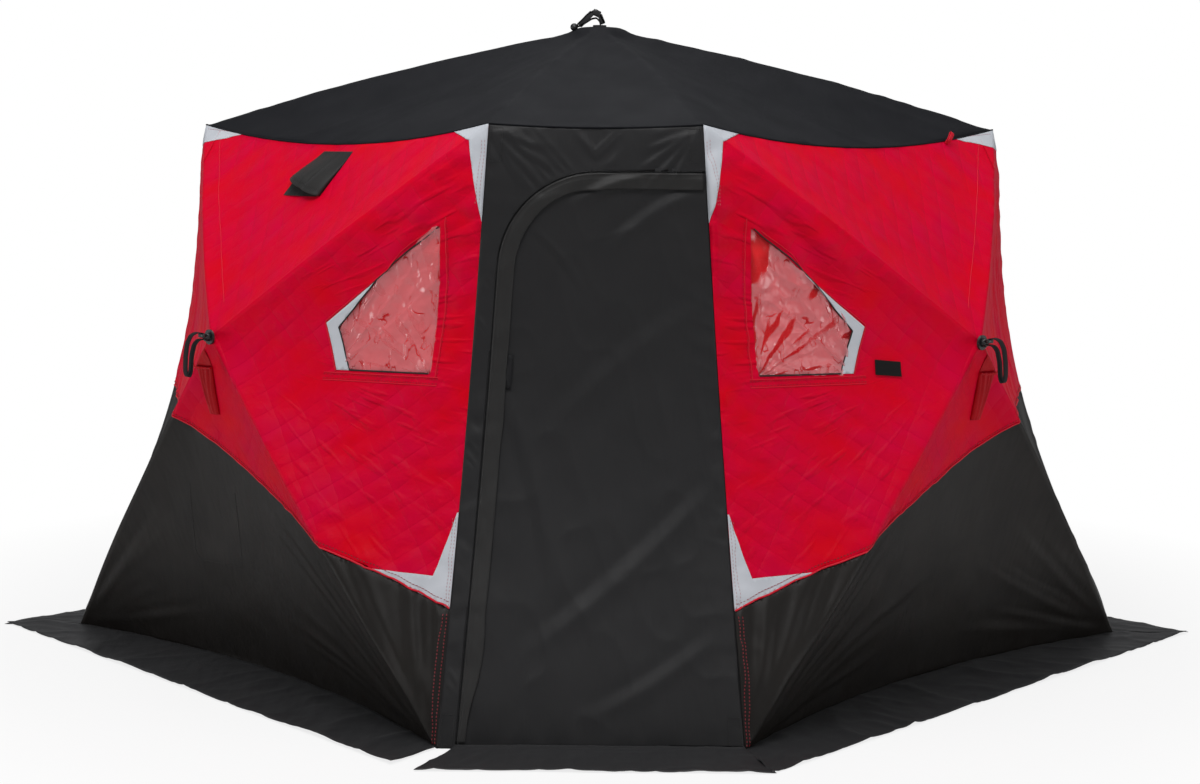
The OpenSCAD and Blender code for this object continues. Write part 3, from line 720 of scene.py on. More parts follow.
def wall_folds(flat, seed, window_pull, low_pull):
    """How far the cloth of a wide wall stands out from its smooth shape."""
    a, z = flat[:, 0], flat[:, 1]
    rng = np.random.default_rng(seed)
    facet = facet_of(flat)
    from_hub = np.linalg.norm(flat - np.array(HUB_FLAT), axis=1)
    crease = np.min([distance_to_line(flat, HUB_FLAT, end) for end in CREASE_ENDS], axis=0)
    to_rim, to_eave, to_side, to_base, to_door = (
        distance_to_path(flat, rim.tolist()) for rim in [RIM] + RIMS
    )
    to_seam = distance_to_path(flat, SEAM)
    slack = smooth(crease, 0.0, 0.10) * smooth(from_hub, 0.04, 0.25)
    red = z > np.interp(a, *zip(*SEAM))

    out = 0.0040 * noise(a / 0.24, z / 0.24, seed) * slack
    out += 0.0016 * noise(a / 0.085, z / 0.085, seed + 1) * slack

    # Quilted look of the red cloth low down and beside the door, where it is drawn in two ways at once
    quilt_zone = np.where(red, 1.0, 0.0) * smooth(from_hub, 0.22, 0.60) * np.select(
        [facet == 3, facet == 2, facet == 1], [1.0, 1.0, 0.55], 0.25)
    quilt = 1.0
    for slant, step in ((-29, 2), (29, 3)):
        row = turned(a, z, 90 + slant)[0] / 0.070 + 0.35 * noise(a / 0.16, z / 0.16, seed + step)
        quilt = quilt * np.abs(np.sin(np.pi * row))
    out += 0.0034 * quilt * quilt_zone
    reach = np.hypot(a + 0.30, z + 0.25)
    around = np.arctan2(z + 0.25, a + 0.30)
    out += 0.0016 * crests(around * 26, reach * 8, seed + 4) * quilt_zone

    # Faint waves along the crease from the hub to the front eave corner
    _, across = turned(a, z, -40)
    upper = (facet == 0) * slack
    out += 0.0016 * noise(across / 0.040, a / 0.35, seed + 5) * upper
    out += 0.0026 * noise(across / 0.16, a / 0.7, seed + 6) * upper
    # Level folds that run in from the side corner
    drawn = np.exp(-to_side / 0.15) * (facet == 0) * slack
    out += 0.0034 * crests(z / 0.050 + a / 0.5, a / 0.22, seed + 14) * drawn

    # Folds that run down from the front eave corner into the window
    from_corner = np.array(TOP_FRONT_FLAT)
    angle = np.arctan2(z - from_corner[1], a - from_corner[0])
    run = np.linalg.norm(flat - from_corner, axis=1)
    for fold in range(5):
        at = math.radians(-92 + 11 * fold + rng.uniform(-3, 3))
        width = 0.030 + 0.010 * rng.uniform()
        off = (angle - at) * np.maximum(run, 0.02)
        length = rng.uniform(0.45, 0.75)
        shape = np.exp(-(off / width) ** 2) - 0.7 * np.exp(-((off - 1.3 * width) / (0.8 * width)) ** 2)
        ends = smooth(run, 0.05, 0.2) * (1 - smooth(run, length - 0.2, length))
        out += window_pull * shape * ends * (facet == 3)

    # Folds that fan out from the base corners, strongest between the door seam and the nearest crease
    for corner, low_angle, high_angle, count, pull, far in (
        (BASE_FRONT_FLAT, 48, 74, 8, low_pull, 0.95), (BASE_FRONT_FLAT, 8, 46, 7, 0.35 * low_pull, 1.1),
        (BASE_SIDE_FLAT, 130, 172, 7, 0.40 * low_pull, 0.9),
    ):
        angle = np.arctan2(z - corner[1], a - corner[0])
        run = np.hypot(a - corner[0], z - corner[1])
        for fold in range(count):
            share = (fold + rng.uniform(0.15, 0.85)) / count
            at = math.radians(low_angle + (high_angle - low_angle) * share)
            start, end = rng.uniform(0.02, 0.12), rng.uniform(0.6, 1.0) * far
            width = rng.uniform(0.010, 0.022)
            bend = 0.012 * noise(run / 0.3, 0 * run, seed + 20 + fold)
            off = (angle - at) * run + bend
            trough = np.exp(-np.abs((off + 1.5 * width) / width) ** 1.5)
            shape = np.exp(-np.abs(off / width) ** 1.5) - 0.6 * trough
            along = smooth(run, start, start + 0.15) * (1 - smooth(run, end - 0.35, end))
            out += pull * rng.uniform(0.6, 1.0) * shape * along * np.where(red, 0.12, 1.0)

    # Upright folds of the narrow strip beside the side corner
    out += 0.0040 * crests(to_side / 0.045, z / 0.55, seed + 7) * (facet == 1) * slack
    out += 0.0020 * noise(to_side / 0.05, z / 0.3, seed + 8) * (facet == 1) * slack

    # Small puckers square to the seams: (height, along the seam, pitch, away from it, length, step, reach)
    for height, along, pitch, away, length, step, reach in (
        (0.0024, z, 0.026, to_door, 0.09, 9, 0.035), (0.0022, a, 0.030, to_eave, 0.08, 10, 0.035),
        (0.0028, a, 0.028, to_base, 0.08, 11, 0.045), (0.0022, z, 0.030, to_side, 0.08, 12, 0.035),
        (0.0026, a, 0.032, to_seam, 0.10, 13, 0.04),
    ):
        out += height * noise(along / pitch, away / length, seed + step) * np.exp(-away / reach)
    # The cloth is drawn in along each sewn seam
    out -= 0.0030 * np.exp(-(to_seam / 0.006) ** 2)
    return out * smooth(to_rim, 0.0, 0.012)


def cut_along(bm, path, place, sight):
    """Cuts a sheet along a path, straight along the line of sight; place turns it to points."""
    sight = Vector(sight)
    for start, end in zip(path, path[1:]):
        a, b = Vector(place(start)), Vector(place(end))
        middle, half = (a + b) / 2, (b - a).length / 2 + 0.012
        ahead = (b - a).normalized()
        across = ahead.cross(sight).normalized()

        def beside(margin):
            """The faces in a narrow strip round the cut."""
            found = []
            for f in bm.faces:
                off = f.calc_center_median() - middle
                if abs(off.dot(ahead)) < half + margin and abs(off.dot(across)) < 0.03 + margin:
                    found.append(f)
            return found

        bmesh.ops.triangulate(bm, faces=beside(0.004))
        geometry = set()
        for f in beside(0.0):
            geometry.update([f], f.verts, f.edges)
        bmesh.ops.bisect_plane(bm, geom=list(geometry), dist=1e-5, plane_co=a, plane_no=across)


def wall_place(point):
    return BASE_FRONT + ALONG * point[0] + UP * point[1]


def keep_faces(bm, chosen):
    """A copy of a bmesh with only the chosen faces."""
    kept = bm.copy()
    kept.faces.ensure_lookup_table()
    gone = [f for f, keep in zip(kept.faces, chosen) if not keep]
    bmesh.ops.delete(kept, geom=gone, context="FACES")
    return kept


def flip(bm, way):
    """Mirrors or turns a piece to its place."""
    write_points(bm, read_points(bm) * way)
    if way[0] * way[1] < 0:
        bmesh.ops.reverse_faces(bm, faces=bm.faces)


def on_cloth(path):
    """The points of a path on a wide wall that lie within its rim."""
    points = resample(path, 0.01)
    return points[inside(points, RIM.tolist())]


class Wall:
    """One wide wall's cut and folded sheet, before it is mirrored to its place."""

    def __init__(self, name, detail, seed, window_pull, low_pull):
        self.name, self.way = name, WALLS[name]
        bm = new_disc(4, detail)
        write_points(bm, wall_surface(read_points(bm)))
        for outline in (
            WINDOW + WINDOW[:1], BORDER[:4], PATCH_FRONT[:5], PATCH_SIDE[1:4], PATCH_LOW[:4], SEAM,
        ):
            cut_along(bm, outline, wall_place, OUT)
        bmesh.ops.remove_doubles(bm, verts=bm.verts, dist=0.0002)
        bmesh.ops.dissolve_degenerate(bm, edges=bm.edges, dist=0.0001)
        self.centres = on_wall(centres_of(bm))
        self.area = areas_of(bm)
        points = read_points(bm)
        out = wall_folds(on_wall(points), seed, window_pull, low_pull)
        write_points(bm, points + normals_of(bm) * out[:, None])
        self.bm, self.tree = bm, BVHTree.FromBMesh(bm)
        self.window = inside(self.centres, WINDOW)
        self.low = inside(self.centres, SEAM + [(2.4, -0.2), (-0.4, -0.2)])
        self.upper = ~self.low & ~self.window

    def on(self, point, lift=0.0):
        """The spot of the folded wall at (distance along, height), lifted off it, before mirroring."""
        start = wall_place(point) + OUT * 1.0
        spot, normal, _, _ = self.tree.ray_cast(Vector(start), Vector(-OUT))
        if spot is None:
            spot, normal, _, _ = self.tree.find_nearest(Vector(wall_place(point)))
        return np.array(spot) + np.array(normal) * lift

    def path(self, points, lift=0.0, spacing=0.012):
        return np.array([self.on(p, lift) for p in resample(points, spacing)]) * self.way

    def uv(self, points):
        return on_wall(points * self.way).T

    def piece(self, name, chosen, *materials, lift=0.0):
        bm = keep_faces(self.bm, chosen)
        if lift:
            write_points(bm, read_points(bm) + normals_of(bm) * lift)
        flip(bm, self.way)
        return finish_piece(bm, f"{name}_{self.name}", *materials, uv=self.uv)

    def declare(self, obj, chosen):
        """Works out the area of the cloth a sheet is cut from and hands it to declare_sheet, which does not
        keep it.
        """
        area = float(self.area[chosen].sum())
        declare_sheet(obj, area=area)


def wall_patch(wall, name, material, corners, columns, rows, lift):
    """A grid laid on a wall between four (along, height) corners; lift(u, v, a, z) is its height off it."""
    bm, u, v = new_grid(columns, rows)
    c = np.array(corners)
    low, high = (c[k] * (1 - u[:, None]) + c[j] * u[:, None] for k, j in ((0, 1), (3, 2)))
    at = low * (1 - v[:, None]) + high * v[:, None]
    rise = lift(u, v, at[:, 0], at[:, 1])
    write_points(bm, np.array([wall.on(point) for point in at]) + OUT * rise[:, None])
    face_along(bm, OUT)
    flip(bm, wall.way)
    return finish_piece(bm, f"{name}_{wall.name}", material, uv=wall.uv)


def pucker_mask(obj, wall):
    """Stores where the red cloth has fine puckers, from 0 to 1, on a wall's points."""
    mesh = obj.data
    points = np.zeros(len(mesh.vertices) * 3)
    mesh.vertices.foreach_get("co", points)
    flat = on_wall(points.reshape(-1, 3) * wall.way)
    facet = facet_of(flat)
    from_hub = np.linalg.norm(flat - np.array(HUB_FLAT), axis=1)
    mask = np.select([facet == 3, facet == 2, facet == 1], [1.0, 1.0, 0.5], 0.08)
    mask = smooth(from_hub, 0.18, 0.55) * mask
    mesh.attributes.new("puckered", "FLOAT", "POINT").data.foreach_set("value", mask.astype(np.float32))


def dashes(name, paths, material, body="root", length=0.0055, gap=0.0045, radius=0.0006):
    """Stitches: short raised dashes along paths, as one mesh."""
    found = []
    for path in paths:
        fine = resample(path, (length + gap) / 2)
        found += [fine[i:i + 2] for i in range(0, len(fine) - 1, 2)]
    return tube(name, found, radius, material, body=body, sides=0)


LONG_STITCH = {"length": 0.004, "gap": 0.003}

# Corners of the sheets behind the window's opening, a little outside its edge
WINDOW_QUAD = [(0.276, 0.968), (0.520, 0.968), (0.574, 1.112), (0.270, 1.436)]


def build_window(wall, seed):
    """The window's cover, closed from inside, and its crumpled clear sheet."""
    def rim(u, v):
        return smooth(np.minimum(np.minimum(u, 1 - u), np.minimum(v, 1 - v)), 0.0, 0.06)

    def cover_lift(u, v, a, z):
        around, run = np.arctan2(z - 1.47, a - 0.24), np.hypot(z - 1.47, a - 0.24)
        folds = 0.0110 * crests(around * 12, run * 1.2, seed + 61)
        folds = folds + 0.0040 * crests(a / 0.06, z / 0.07, seed + 62)
        return -0.0180 + 0.75 * folds * rim(u, v)

    def pane_lift(u, v, a, z):
        around, run = np.arctan2(z - 0.93, a - 0.60), np.hypot(z - 0.93, a - 0.60)
        folds = 0.0060 * crests(around * 7, run * 4, seed + 63)
        folds = folds + 0.0042 * crests(a / 0.050 + z / 0.09, z / 0.060 - a / 0.11, seed + 64)
        small = 0.25 + 0.75 * np.exp(-(a - 0.285) / 0.05)
        folds = folds + 0.0034 * crests(a / 0.026, z / 0.045, seed + 65) * small
        return -0.0040 + folds * rim(u, v)

    cover = wall_patch(wall, "window_cover", RED_COVER, WINDOW_QUAD, 44, 52, cover_lift)
    thicken(cover, 0.001)
    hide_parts("window_covers")
    clear = CLEAR_FANNED if wall.name in ("front_right", "back_left") else CLEAR
    pane = wall_patch(wall, "window_pane", clear, WINDOW_QUAD, 84, 96, pane_lift)
    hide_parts("window_sheets")
    return cover, pane


def window_trim(wall):
    """Black binding along the window's edges, partly painted shadow; a raised strip beside the window's
    upright edge and a stitched hem below it.
    """
    near, far, low, middle, high = 0.262, 0.575, 0.9700, 1.101, 1.412
    # The black binding is partly painted shadow: it also stands in for the dark shadow line along the
    # window's edges
    binding_and_shadow = tube(f"window_binding_{wall.name}", [
        wall.path(WINDOW[:4], 0.0004, 0.01),
        wall.path([(0.508, 0.9805), (0.29, 0.9805)], 0.0004, 0.01),
        wall.path([(0.548, 1.101), (0.508, 0.98)], 0.0000, 0.01),
    ], 0.0022, TRIM_CLOTH)
    strip = tube(f"window_strip_{wall.name}", [
        wall.path([(0.30, 1.388), (0.378, 1.322), BORDER[0], (0.586, 1.116), (0.545, 0.976)], 0.0010, 0.01),
        wall.path([(near, high + 0.01), (near + 0.008, low)], 0.0004, 0.01),
        wall.path([(near, low), (far, low + 0.002)], 0.0004, 0.01),
        wall.path([(near, low - 0.022), (far, low - 0.019)], 0.0004, 0.01),
    ], 0.0016, RED_PIPING)
    stitches = dashes(f"window_stitches_{wall.name}", [
        wall.path([(near - 0.004, high), (near + 0.004, low)], 0.0008, 0.004),
        wall.path([(near, low - 0.005), (far, low - 0.003)], 0.0008, 0.004),
        wall.path([(near, low - 0.017), (far, low - 0.014)], 0.0008, 0.004),
    ], RED_STITCH)
    return [binding_and_shadow, strip, stitches]


def inner_line(rim, low, high, away):
    """A line beside an upright edge of the wall, between two heights."""
    order = np.argsort(rim[:, 1])
    heights = np.linspace(low, high, 24)
    return [(float(np.interp(z, rim[order, 1], rim[order, 0])) + away, float(z)) for z in heights]


def seam_stitches(wall):
    """The stitches beside the wall's seams, and the fine ridge sewn along its upper crease."""
    def two_rows(low, high, lift):
        return [wall.path(inner_line(DOOR_RIM, low, high, away), lift, 0.005) for away in (0.005, 0.012)]

    above_seam = wall.path(on_cloth([(a, z + 0.012) for a, z in SEAM]), 0.0010, 0.005)
    red = dashes(f"seam_stitches_{wall.name}", two_rows(0.012, 0.34, 0.0014) + [above_seam], RED_STITCH,
                 radius=0.0013)
    short_rows = [
        wall.path(ends, 0.0020, 0.005)
        for ends in ([(0.120, 0.382), (0.26, 0.446)], [(1.45, 1.660), (1.56, 1.668)])
    ]
    pink = dashes(f"patch_stitches_{wall.name}",
                  two_rows(0.36, 0.59, 0.0020) + two_rows(1.46, 1.64, 0.0020) + short_rows,
                  PINK_STITCH, radius=0.0007)
    side = np.array(TOP_SIDE_FLAT) - np.array(HUB_FLAT)
    beside = np.array([side[1], -side[0]]) / np.linalg.norm(side) * -0.045
    ends = [np.array(HUB_FLAT) + share * side + beside for share in (0.10, 0.97)]
    ridge = tube(f"crease_seam_{wall.name}", [wall.path(ends, 0.0002, 0.012)], 0.0012, RED_PIPING)
    found = [red, pink, ridge]
    if wall.name == "front_left":
        outline = [(1.17, 0.582), (1.228, 0.357), (1.214, 0.328), (1.004, 0.332), (0.96, 0.574)]
        pocket = wall.path(outline, 0.0006, 0.005)
        found.append(dashes("inner_pocket_stitches", [pocket], STITCH, radius=0.0008))
    return found


# A pull strap's path: (out from the hub, up from it)
STRAP_PATH = [(0.012, 0.002), (0.024, 0.011), (0.046, 0.017), (0.067, 0.009), (0.080, -0.014),
              (0.086, -0.050), (0.088, -0.094), (0.083, -0.112), (0.076, -0.113), (0.070, -0.096),
              (0.066, -0.052), (0.057, -0.019), (0.043, -0.005), (0.022, -0.005), (0.012, -0.006)]


def build_pull_strap(wall):
    """The webbing loop that pulls the hub out, with its keeper on the hub's button."""
    line, way = smoothed(STRAP_PATH, 0.004, 3), np.array(wall.way)
    path = (HUB + OUT * line[:, :1] + UP * line[:, 1:]) * way
    obj = ribbon_sheet(f"pull_strap_{wall.name}", path, [ALONG * 0.0110 * way] * len(path), WEBBING,
                       thickness=0.0022)
    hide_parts("pull_loops")
    bm = bmesh.new()
    bmesh.ops.create_cone(bm, cap_ends=True, segments=32, radius1=0.013, radius2=0.011, depth=0.014)
    bmesh.ops.bevel(bm, geom=[e for e in bm.edges if e.calc_face_angle(0) > 0.6], offset=0.002, segments=3,
                    profile=0.5, affect="EDGES", material=-1)
    turn = Vector(OUT * way).to_track_quat("Z", "Y").to_matrix()
    bmesh.ops.rotate(bm, verts=bm.verts, matrix=turn)
    bmesh.ops.translate(bm, verts=bm.verts, vec=Vector((HUB + OUT * 0.0145) * way))
    knob = finish_piece(bm, f"hub_bolt_{wall.name}", HUB_PLASTIC)
    turn = Matrix.Rotation(math.atan2(*(ALONG * way)[[1, 0]]), 3, "Z")
    keeper = bevelled_box(f"strap_keeper_{wall.name}", (0.026, 0.010, 0.012), 0.002, 2, turn,
                          (HUB + OUT * 0.030 + UP * 0.006) * way, BUCKLE)


def build_pouch(wall):
    """The rope pouch under the hub: a flat upper panel, a gathered hem and a soft body."""
    def panel_lift(u, v, a, z):
        return 0.0016 + 0.0020 * hump(u, 0.6) + 0.0010 * noise(u * 6, v * 3, 71)

    def body_lift(u, v, a, z):
        full = hump(np.clip(u, 0, 1), 0.55) * (0.25 + 0.75 * hump(np.clip(0.12 + 0.80 * v, 0, 1), 0.6))
        dent = 0.35 * np.exp(-((u - 0.52 - 0.06 * np.sin(v * 5)) / 0.07) ** 2) * smooth(v, 0.0, 0.25)
        pleats = 0.30 * np.abs(np.sin(math.pi * (4.2 * u + 0.5 * v))) * (0.4 + 0.6 * smooth(v, 0.3, 1.0))
        return 0.0012 + 0.022 * full * (1 - dent) * (0.70 + pleats) + 0.0012 * noise(u * 9, v * 2, 72) * full

    upper = wall_patch(wall, "pouch_panel", RED_DEEP,
                       [(0.928, 0.968), (0.988, 0.968), (0.968, 1.034), (0.944, 1.034)], 14, 14, panel_lift)
    thicken(upper, 0.001)
    body = wall_patch(wall, "pouch_body", RED_DEEP,
                      [(0.938, 0.822), (0.980, 0.822), (0.988, 0.966), (0.928, 0.966)], 40, 40, body_lift)
    thicken(body, 0.001)
    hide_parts("rope_pouches")
    hem_path = wall.path([(0.925, 0.967), (0.959, 0.963), (0.993, 0.967)], 0.0100, 0.006)
    hem = tube(f"pouch_hem_{wall.name}", [hem_path], 0.0030, RED_DEEP)
    declare_sheet(body)
    declare_sheet(upper)


def build_hood(wall):
    """The vent's hood: an arched tube of cloth, sewn down at its top and sides and open at its lower end."""
    def arch(u, v, a, z):
        full = hump(np.clip(u, 0, 1), 0.5) * (0.10 + 0.90 * smooth(v, 0.0, 0.85))
        crease = 0.30 * np.exp(-((u - 0.42) / 0.08) ** 2) * smooth(v, 0.05, 0.35)
        return 0.0012 + 0.036 * full * (1 - crease * (1 - 0.5 * smooth(v, 0.7, 1.0)))

    def mesh_lift(u, v, a, z):
        return 0.0008 + 0.004 * v * hump(u, 1)

    cloth = wall_patch(wall, "vent_hood", TRIM_CLOTH, HOOD, 40, 44, arch)
    thicken(cloth, 0.0014)
    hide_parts("vent_hoods")
    mouth = [(0.800, 1.520), (0.970, 1.545), (0.984, 1.467), (0.818, 1.466)]
    vent = wall_patch(wall, "vent_mesh", HOOK_TAPE, mouth, 24, 6, mesh_lift)
    corners, hem = np.array(HOOD), []
    for share in (0.86, 0.90):
        low, high = corners[:2] * (1 - share) + corners[[3, 2]] * share
        row = []
        for u in np.linspace(0.03, 0.97, 24):
            lift = arch(np.array([u]), np.array([share]), 0, 0)[0] + 0.0006
            row.append((wall.on(low * (1 - u) + high * u) + OUT * lift) * wall.way)
        hem.append(np.array(row))
    stitches = dashes(f"vent_hood_stitches_{wall.name}", hem, STITCH, **LONG_STITCH, radius=0.0007)
    declare_sheet(cloth)


TAB_ALONG = 1.31


def build_eave_tab(wall):
    """A small red loop sewn into the eave seam near the side corner."""
    order = np.argsort(EAVE_RIM[:, 0])
    eave = float(np.interp(TAB_ALONG, EAVE_RIM[order, 0], EAVE_RIM[order, 1]))
    foot = wall.on((TAB_ALONG, eave - 0.010))
    rise = [(0.0, 0.0, 0.002), (0.004, 0.010, 0.007), (0.010, 0.022, 0.010), (0.017, 0.034, 0.009),
            (0.019, 0.037, 0.013), (0.016, 0.034, 0.016), (0.009, 0.021, 0.015), (0.001, 0.006, 0.012)]
    path = np.array([foot + ALONG * along + UP * up + OUT * out for along, up, out in rise]) * wall.way
    side = (ALONG * 0.9 - UP * 0.4) * 0.009 * wall.way
    ribbon_sheet("eave_tab", path, [side] * len(path), RED_PIPING, thickness=0.0014)


def build_wall(name, detail, seed, window_pull, low_pull, hood):
    wall = Wall(name, detail, seed, window_pull, low_pull)
    upper = wall.piece("upper_cloth", wall.upper, RED, LINING)
    pucker_mask(upper, wall)
    thicken(upper, CLOTH, lining=True)
    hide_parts(f"wall_{name}")
    lower = wall.piece("lower_cloth", wall.low, BLACK_WALL, LINING)
    thicken(lower, CLOTH, lining=True)
    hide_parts(f"lower_wall_{name}")

    trims = []
    for label, outline in (
        ("front_eave_patch", PATCH_FRONT), ("side_eave_patch", PATCH_SIDE), ("low_patch", PATCH_LOW),
        ("window_border", BORDER),
    ):
        obj = wall.piece(label, inside(wall.centres, outline) & wall.upper, REFLECTIVE, lift=0.0002)
        thicken(obj, TRIM, outward=True)
        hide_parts("window_borders" if label == "window_border" else "reflective_patches")
        trims.append(obj)

    trims.append(tube(f"seam_piping_{name}", [wall.path(on_cloth(SEAM), 0.0012, 0.012)], 0.0028, RED_PIPING))
    cover, pane = build_window(wall, seed)
    trims += window_trim(wall) + seam_stitches(wall)
    build_pull_strap(wall)
    build_pouch(wall)
    if hood:
        build_hood(wall)
    if name == "front_right":
        build_eave_tab(wall)

    wall.declare(upper, wall.upper)
    wall.declare(lower, wall.low)
    wall.declare(cover, wall.window)
    wall.declare(pane, wall.window)


build_wall("front_left", FRONT_DETAIL, 11, 0.0045, 0.0090, True)
build_wall("front_right", FRONT_DETAIL, 47, 0.0130, 0.0085, False)
build_wall("back_left", BACK_DETAIL, 83, 0.0040, 0.0060, False)
build_wall("back_right", BACK_DETAIL, 29, 0.0040, 0.0060, True)

# ---- Front and back panels ----

def panel_seam_x(z):
    return BASE_HALF + (TOP_HALF - BASE_HALF) * z / EAVE_HEIGHT


DOOR_LEAN = math.atan2(BASE_HALF - TOP_HALF, EAVE_HEIGHT)


def zip_x(z, inward):
    """The zip's x at a height, moved towards the outside by a distance."""
    return DOOR_STRIP - panel_seam_x(z) - inward / math.cos(DOOR_LEAN)


def zip_line(grown, right=0.0):
    """(x, z) points up the zip, round its corner and along the top to the hinge seam."""
    radius = DOOR_CORNER + grown
    middle = DOOR_TOP - DOOR_CORNER
    centre = zip_x(middle, grown) + radius / math.cos(DOOR_LEAN)
    turn = math.pi - DOOR_LEAN - (math.pi / 2 - DOOR_LEAN) * np.linspace(0, 1, 15)
    arc = [(centre + radius * math.cos(a), middle + radius * math.sin(a)) for a in turn]
    return [(zip_x(-0.05, grown), -0.05)] + arc + [(panel_seam_x(DOOR_TOP) + right, DOOR_TOP + grown)]


def panel_surface(share, up):
    """Places shares across the front panel and up it, from 0 to 1, as points."""
    across = 2 * share - 1
    points = door_edge(up)
    drop = PANEL_EAVE_DROP * hump((across + 1) / 2, 1) * up ** 6
    return np.column_stack([points[:, 0] * across, points[:, 1], points[:, 2] - drop])


def line_fold(x, z, start, end, width, height, bend=0.0):
    """One soft fold from start to end, with a shallow trough beside it."""
    start, end = np.array(start), np.array(end)
    length = np.linalg.norm(end - start)
    ahead = (end - start) / length
    run = (x - start[0]) * ahead[0] + (z - start[1]) * ahead[1]
    off = (z - start[1]) * ahead[0] - (x - start[0]) * ahead[1]
    off = off - bend * hump(np.clip(run / length, 0, 1), 1)
    trough = np.exp(-np.abs((off + 1.6 * width) / width) ** 1.6)
    shape = np.exp(-np.abs(off / width) ** 1.6) - 0.6 * trough
    ends = smooth(run, 0, 0.25 * length) * (1 - smooth(run, 0.65 * length, length))
    return height * shape * ends


def zip_run(grown, spacing, low, margin):
    """Evenly spaced points along the zip, above a height and clear of the hinge seam."""
    line = resample(zip_line(grown), spacing)
    return line[(line[:, 1] > low) & (line[:, 0] < panel_seam_x(line[:, 1]) - margin)]


# The door's long soft folds: (start, end, width, height, bend)
DOOR_FOLDS = (
    ((0.31, 1.545), (-0.10, 1.43), 0.016, 0.0080, -0.045), ((0.31, 1.50), (0.02, 1.30), 0.020, 0.0060, -0.03),
    ((-0.18, 1.40), (-0.02, 1.20), 0.010, 0.0030, 0.012), ((0.34, 1.20), (-0.16, 0.78), 0.030, 0.0035, -0.03),
    ((0.37, 0.72), (-0.24, 0.20), 0.026, 0.0050, 0.03), ((-0.25, 0.95), (-0.10, 0.35), 0.022, 0.0035, 0.02),
    ((0.36, 0.30), (-0.05, 0.06), 0.022, 0.0040, 0.02),
)


def panel_folds(points, seed):
    """How far the cloth of the front or back panel stands out from its smooth shape."""
    x, z = points[:, 0], points[:, 2]
    to_side = panel_seam_x(z) - np.abs(x)
    flat = np.column_stack([x, z])
    zipper = zip_line(0.0)
    to_zip = distance_to_path(flat, zipper)
    door = inside(flat, zipper + [(0.6, -0.1)])
    out = 0.0030 * noise(x / 0.26, z / 0.30, seed) + 0.0012 * noise(x / 0.09, z / 0.11, seed + 1)
    out += 0.0020 * crests(x / 0.10 + z / 0.35, z / 0.16 - x / 0.5, seed + 2) * np.where(door, 1.0, 0.5)
    # Slanted creases of the strip beside the zip and the band over it
    slant = z - 1.15 * np.abs(x) + 0.012 * noise(x / 0.10, z / 0.12, seed + 8)
    creased = smooth(noise(x / 0.16, z / 0.10, seed + 9), -0.35, 0.25) * smooth(to_zip, 0.002, 0.030)
    out += (0.0050 * crests(slant / 0.034, x / 0.16 + z / 0.9, seed + 7) - 0.0014) * creased * ~door
    # Short puckers at the hinge seam
    middle = np.exp(-((z - 1.14) / 0.17) ** 2) + 0.5 * np.exp(-((z - 0.55) / 0.20) ** 2)
    beside = np.exp(-to_side / 0.050) * middle * door
    out += 0.0050 * crests(z / 0.042 + x / 0.12, x / 0.10, seed + 10) * beside
    # The corners under the eave are drawn up and out
    for side in (-1, 1):
        for turn, reach in ((-62, 0.20), (-48, 0.26), (-34, 0.22), (-22, 0.17)):
            a = math.radians(turn)
            start = (side * (TOP_HALF - 0.005), EAVE_HEIGHT - 0.01)
            end = (start[0] - side * reach * math.cos(a), start[1] + reach * math.sin(a))
            out += line_fold(x, z, start, end, 0.009, 0.0045)
    # The door's cloth sags from its upper hinge corner, and hangs in long faint folds
    for fold in DOOR_FOLDS:
        out += line_fold(x, z, *fold) * door
    # Small puckers square to the seams
    out += 0.0022 * noise(z / 0.030, to_side / 0.08, seed + 3) * np.exp(-to_side / 0.040)
    out += 0.0020 * noise(z / 0.034, to_zip / 0.10, seed + 4) * np.exp(-to_zip / 0.035)
    out += 0.0030 * noise(x / 0.045, z / 0.10, seed + 5) * np.exp(-z / 0.05)
    out += 0.0018 * noise(x / 0.030, 0 * x, seed + 6) * np.exp(-(EAVE_HEIGHT - z) / 0.03)
    rim = np.minimum(np.minimum(to_side, z + 0.004), EAVE_HEIGHT - z - PANEL_EAVE_DROP * 0.5)
    return out * smooth(rim, 0.0, 0.014)


def panel_place(point):
    return np.array([point[0], -BASE_REACH, point[1]])


class Panel:
    """The front or back panel's folded sheet, before it is turned to its place."""

    def __init__(self, seed, columns, rows, turned_round):
        self.way = (-1, -1, 1) if turned_round else (1, 1, 1)
        bm, share, up = new_grid(columns, rows)
        write_points(bm, panel_surface(share, up))
        face_along(bm, -BACK)
        hinge = [(panel_seam_x(z) - HINGE_GAP, z) for z in (-0.02, DOOR_TOP + 0.01)]
        heel = [(BASE_HALF - DOOR_HEEL, DOOR_LIFT), (0.6, DOOR_LIFT)]
        for line in (zip_line(ZIP_HALF), zip_line(-ZIP_HALF), hinge, heel):
            cut_along(bm, line, panel_place, BACK)
        self.centres = centres_of(bm)[:, [0, 2]]
        self.area = areas_of(bm)
        points = read_points(bm)
        write_points(bm, points + normals_of(bm) * panel_folds(points, seed)[:, None])
        self.bm, self.tree = bm, BVHTree.FromBMesh(bm)

    def on(self, point, lift=0.0):
        x = float(np.clip(point[0], -panel_seam_x(point[1]) + 0.001, panel_seam_x(point[1]) - 0.001))
        z = float(np.clip(point[1], 0.0008, EAVE_HEIGHT - 0.012))
        spot, normal, _, _ = self.tree.ray_cast(Vector((x, -3, z)), Vector(BACK))
        if spot is None:
            spot, normal, _, _ = self.tree.find_nearest(Vector((x, -BASE_REACH, z)))
        return np.array(spot) + np.array(normal) * lift

    def path(self, points, lift=0.0, spacing=0.012):
        return np.array([self.on(p, lift) for p in resample(points, spacing)]) * self.way

    def piece(self, name, chosen, body="root"):
        bm = keep_faces(self.bm, chosen)
        flip(bm, self.way)
        obj = finish_piece(bm, name, BLACK_PANEL, LINING, body=body,
                           uv=lambda p: (p[:, 0] * self.way[0], p[:, 2]))
        thicken(obj, CLOTH, lining=True)
        return obj


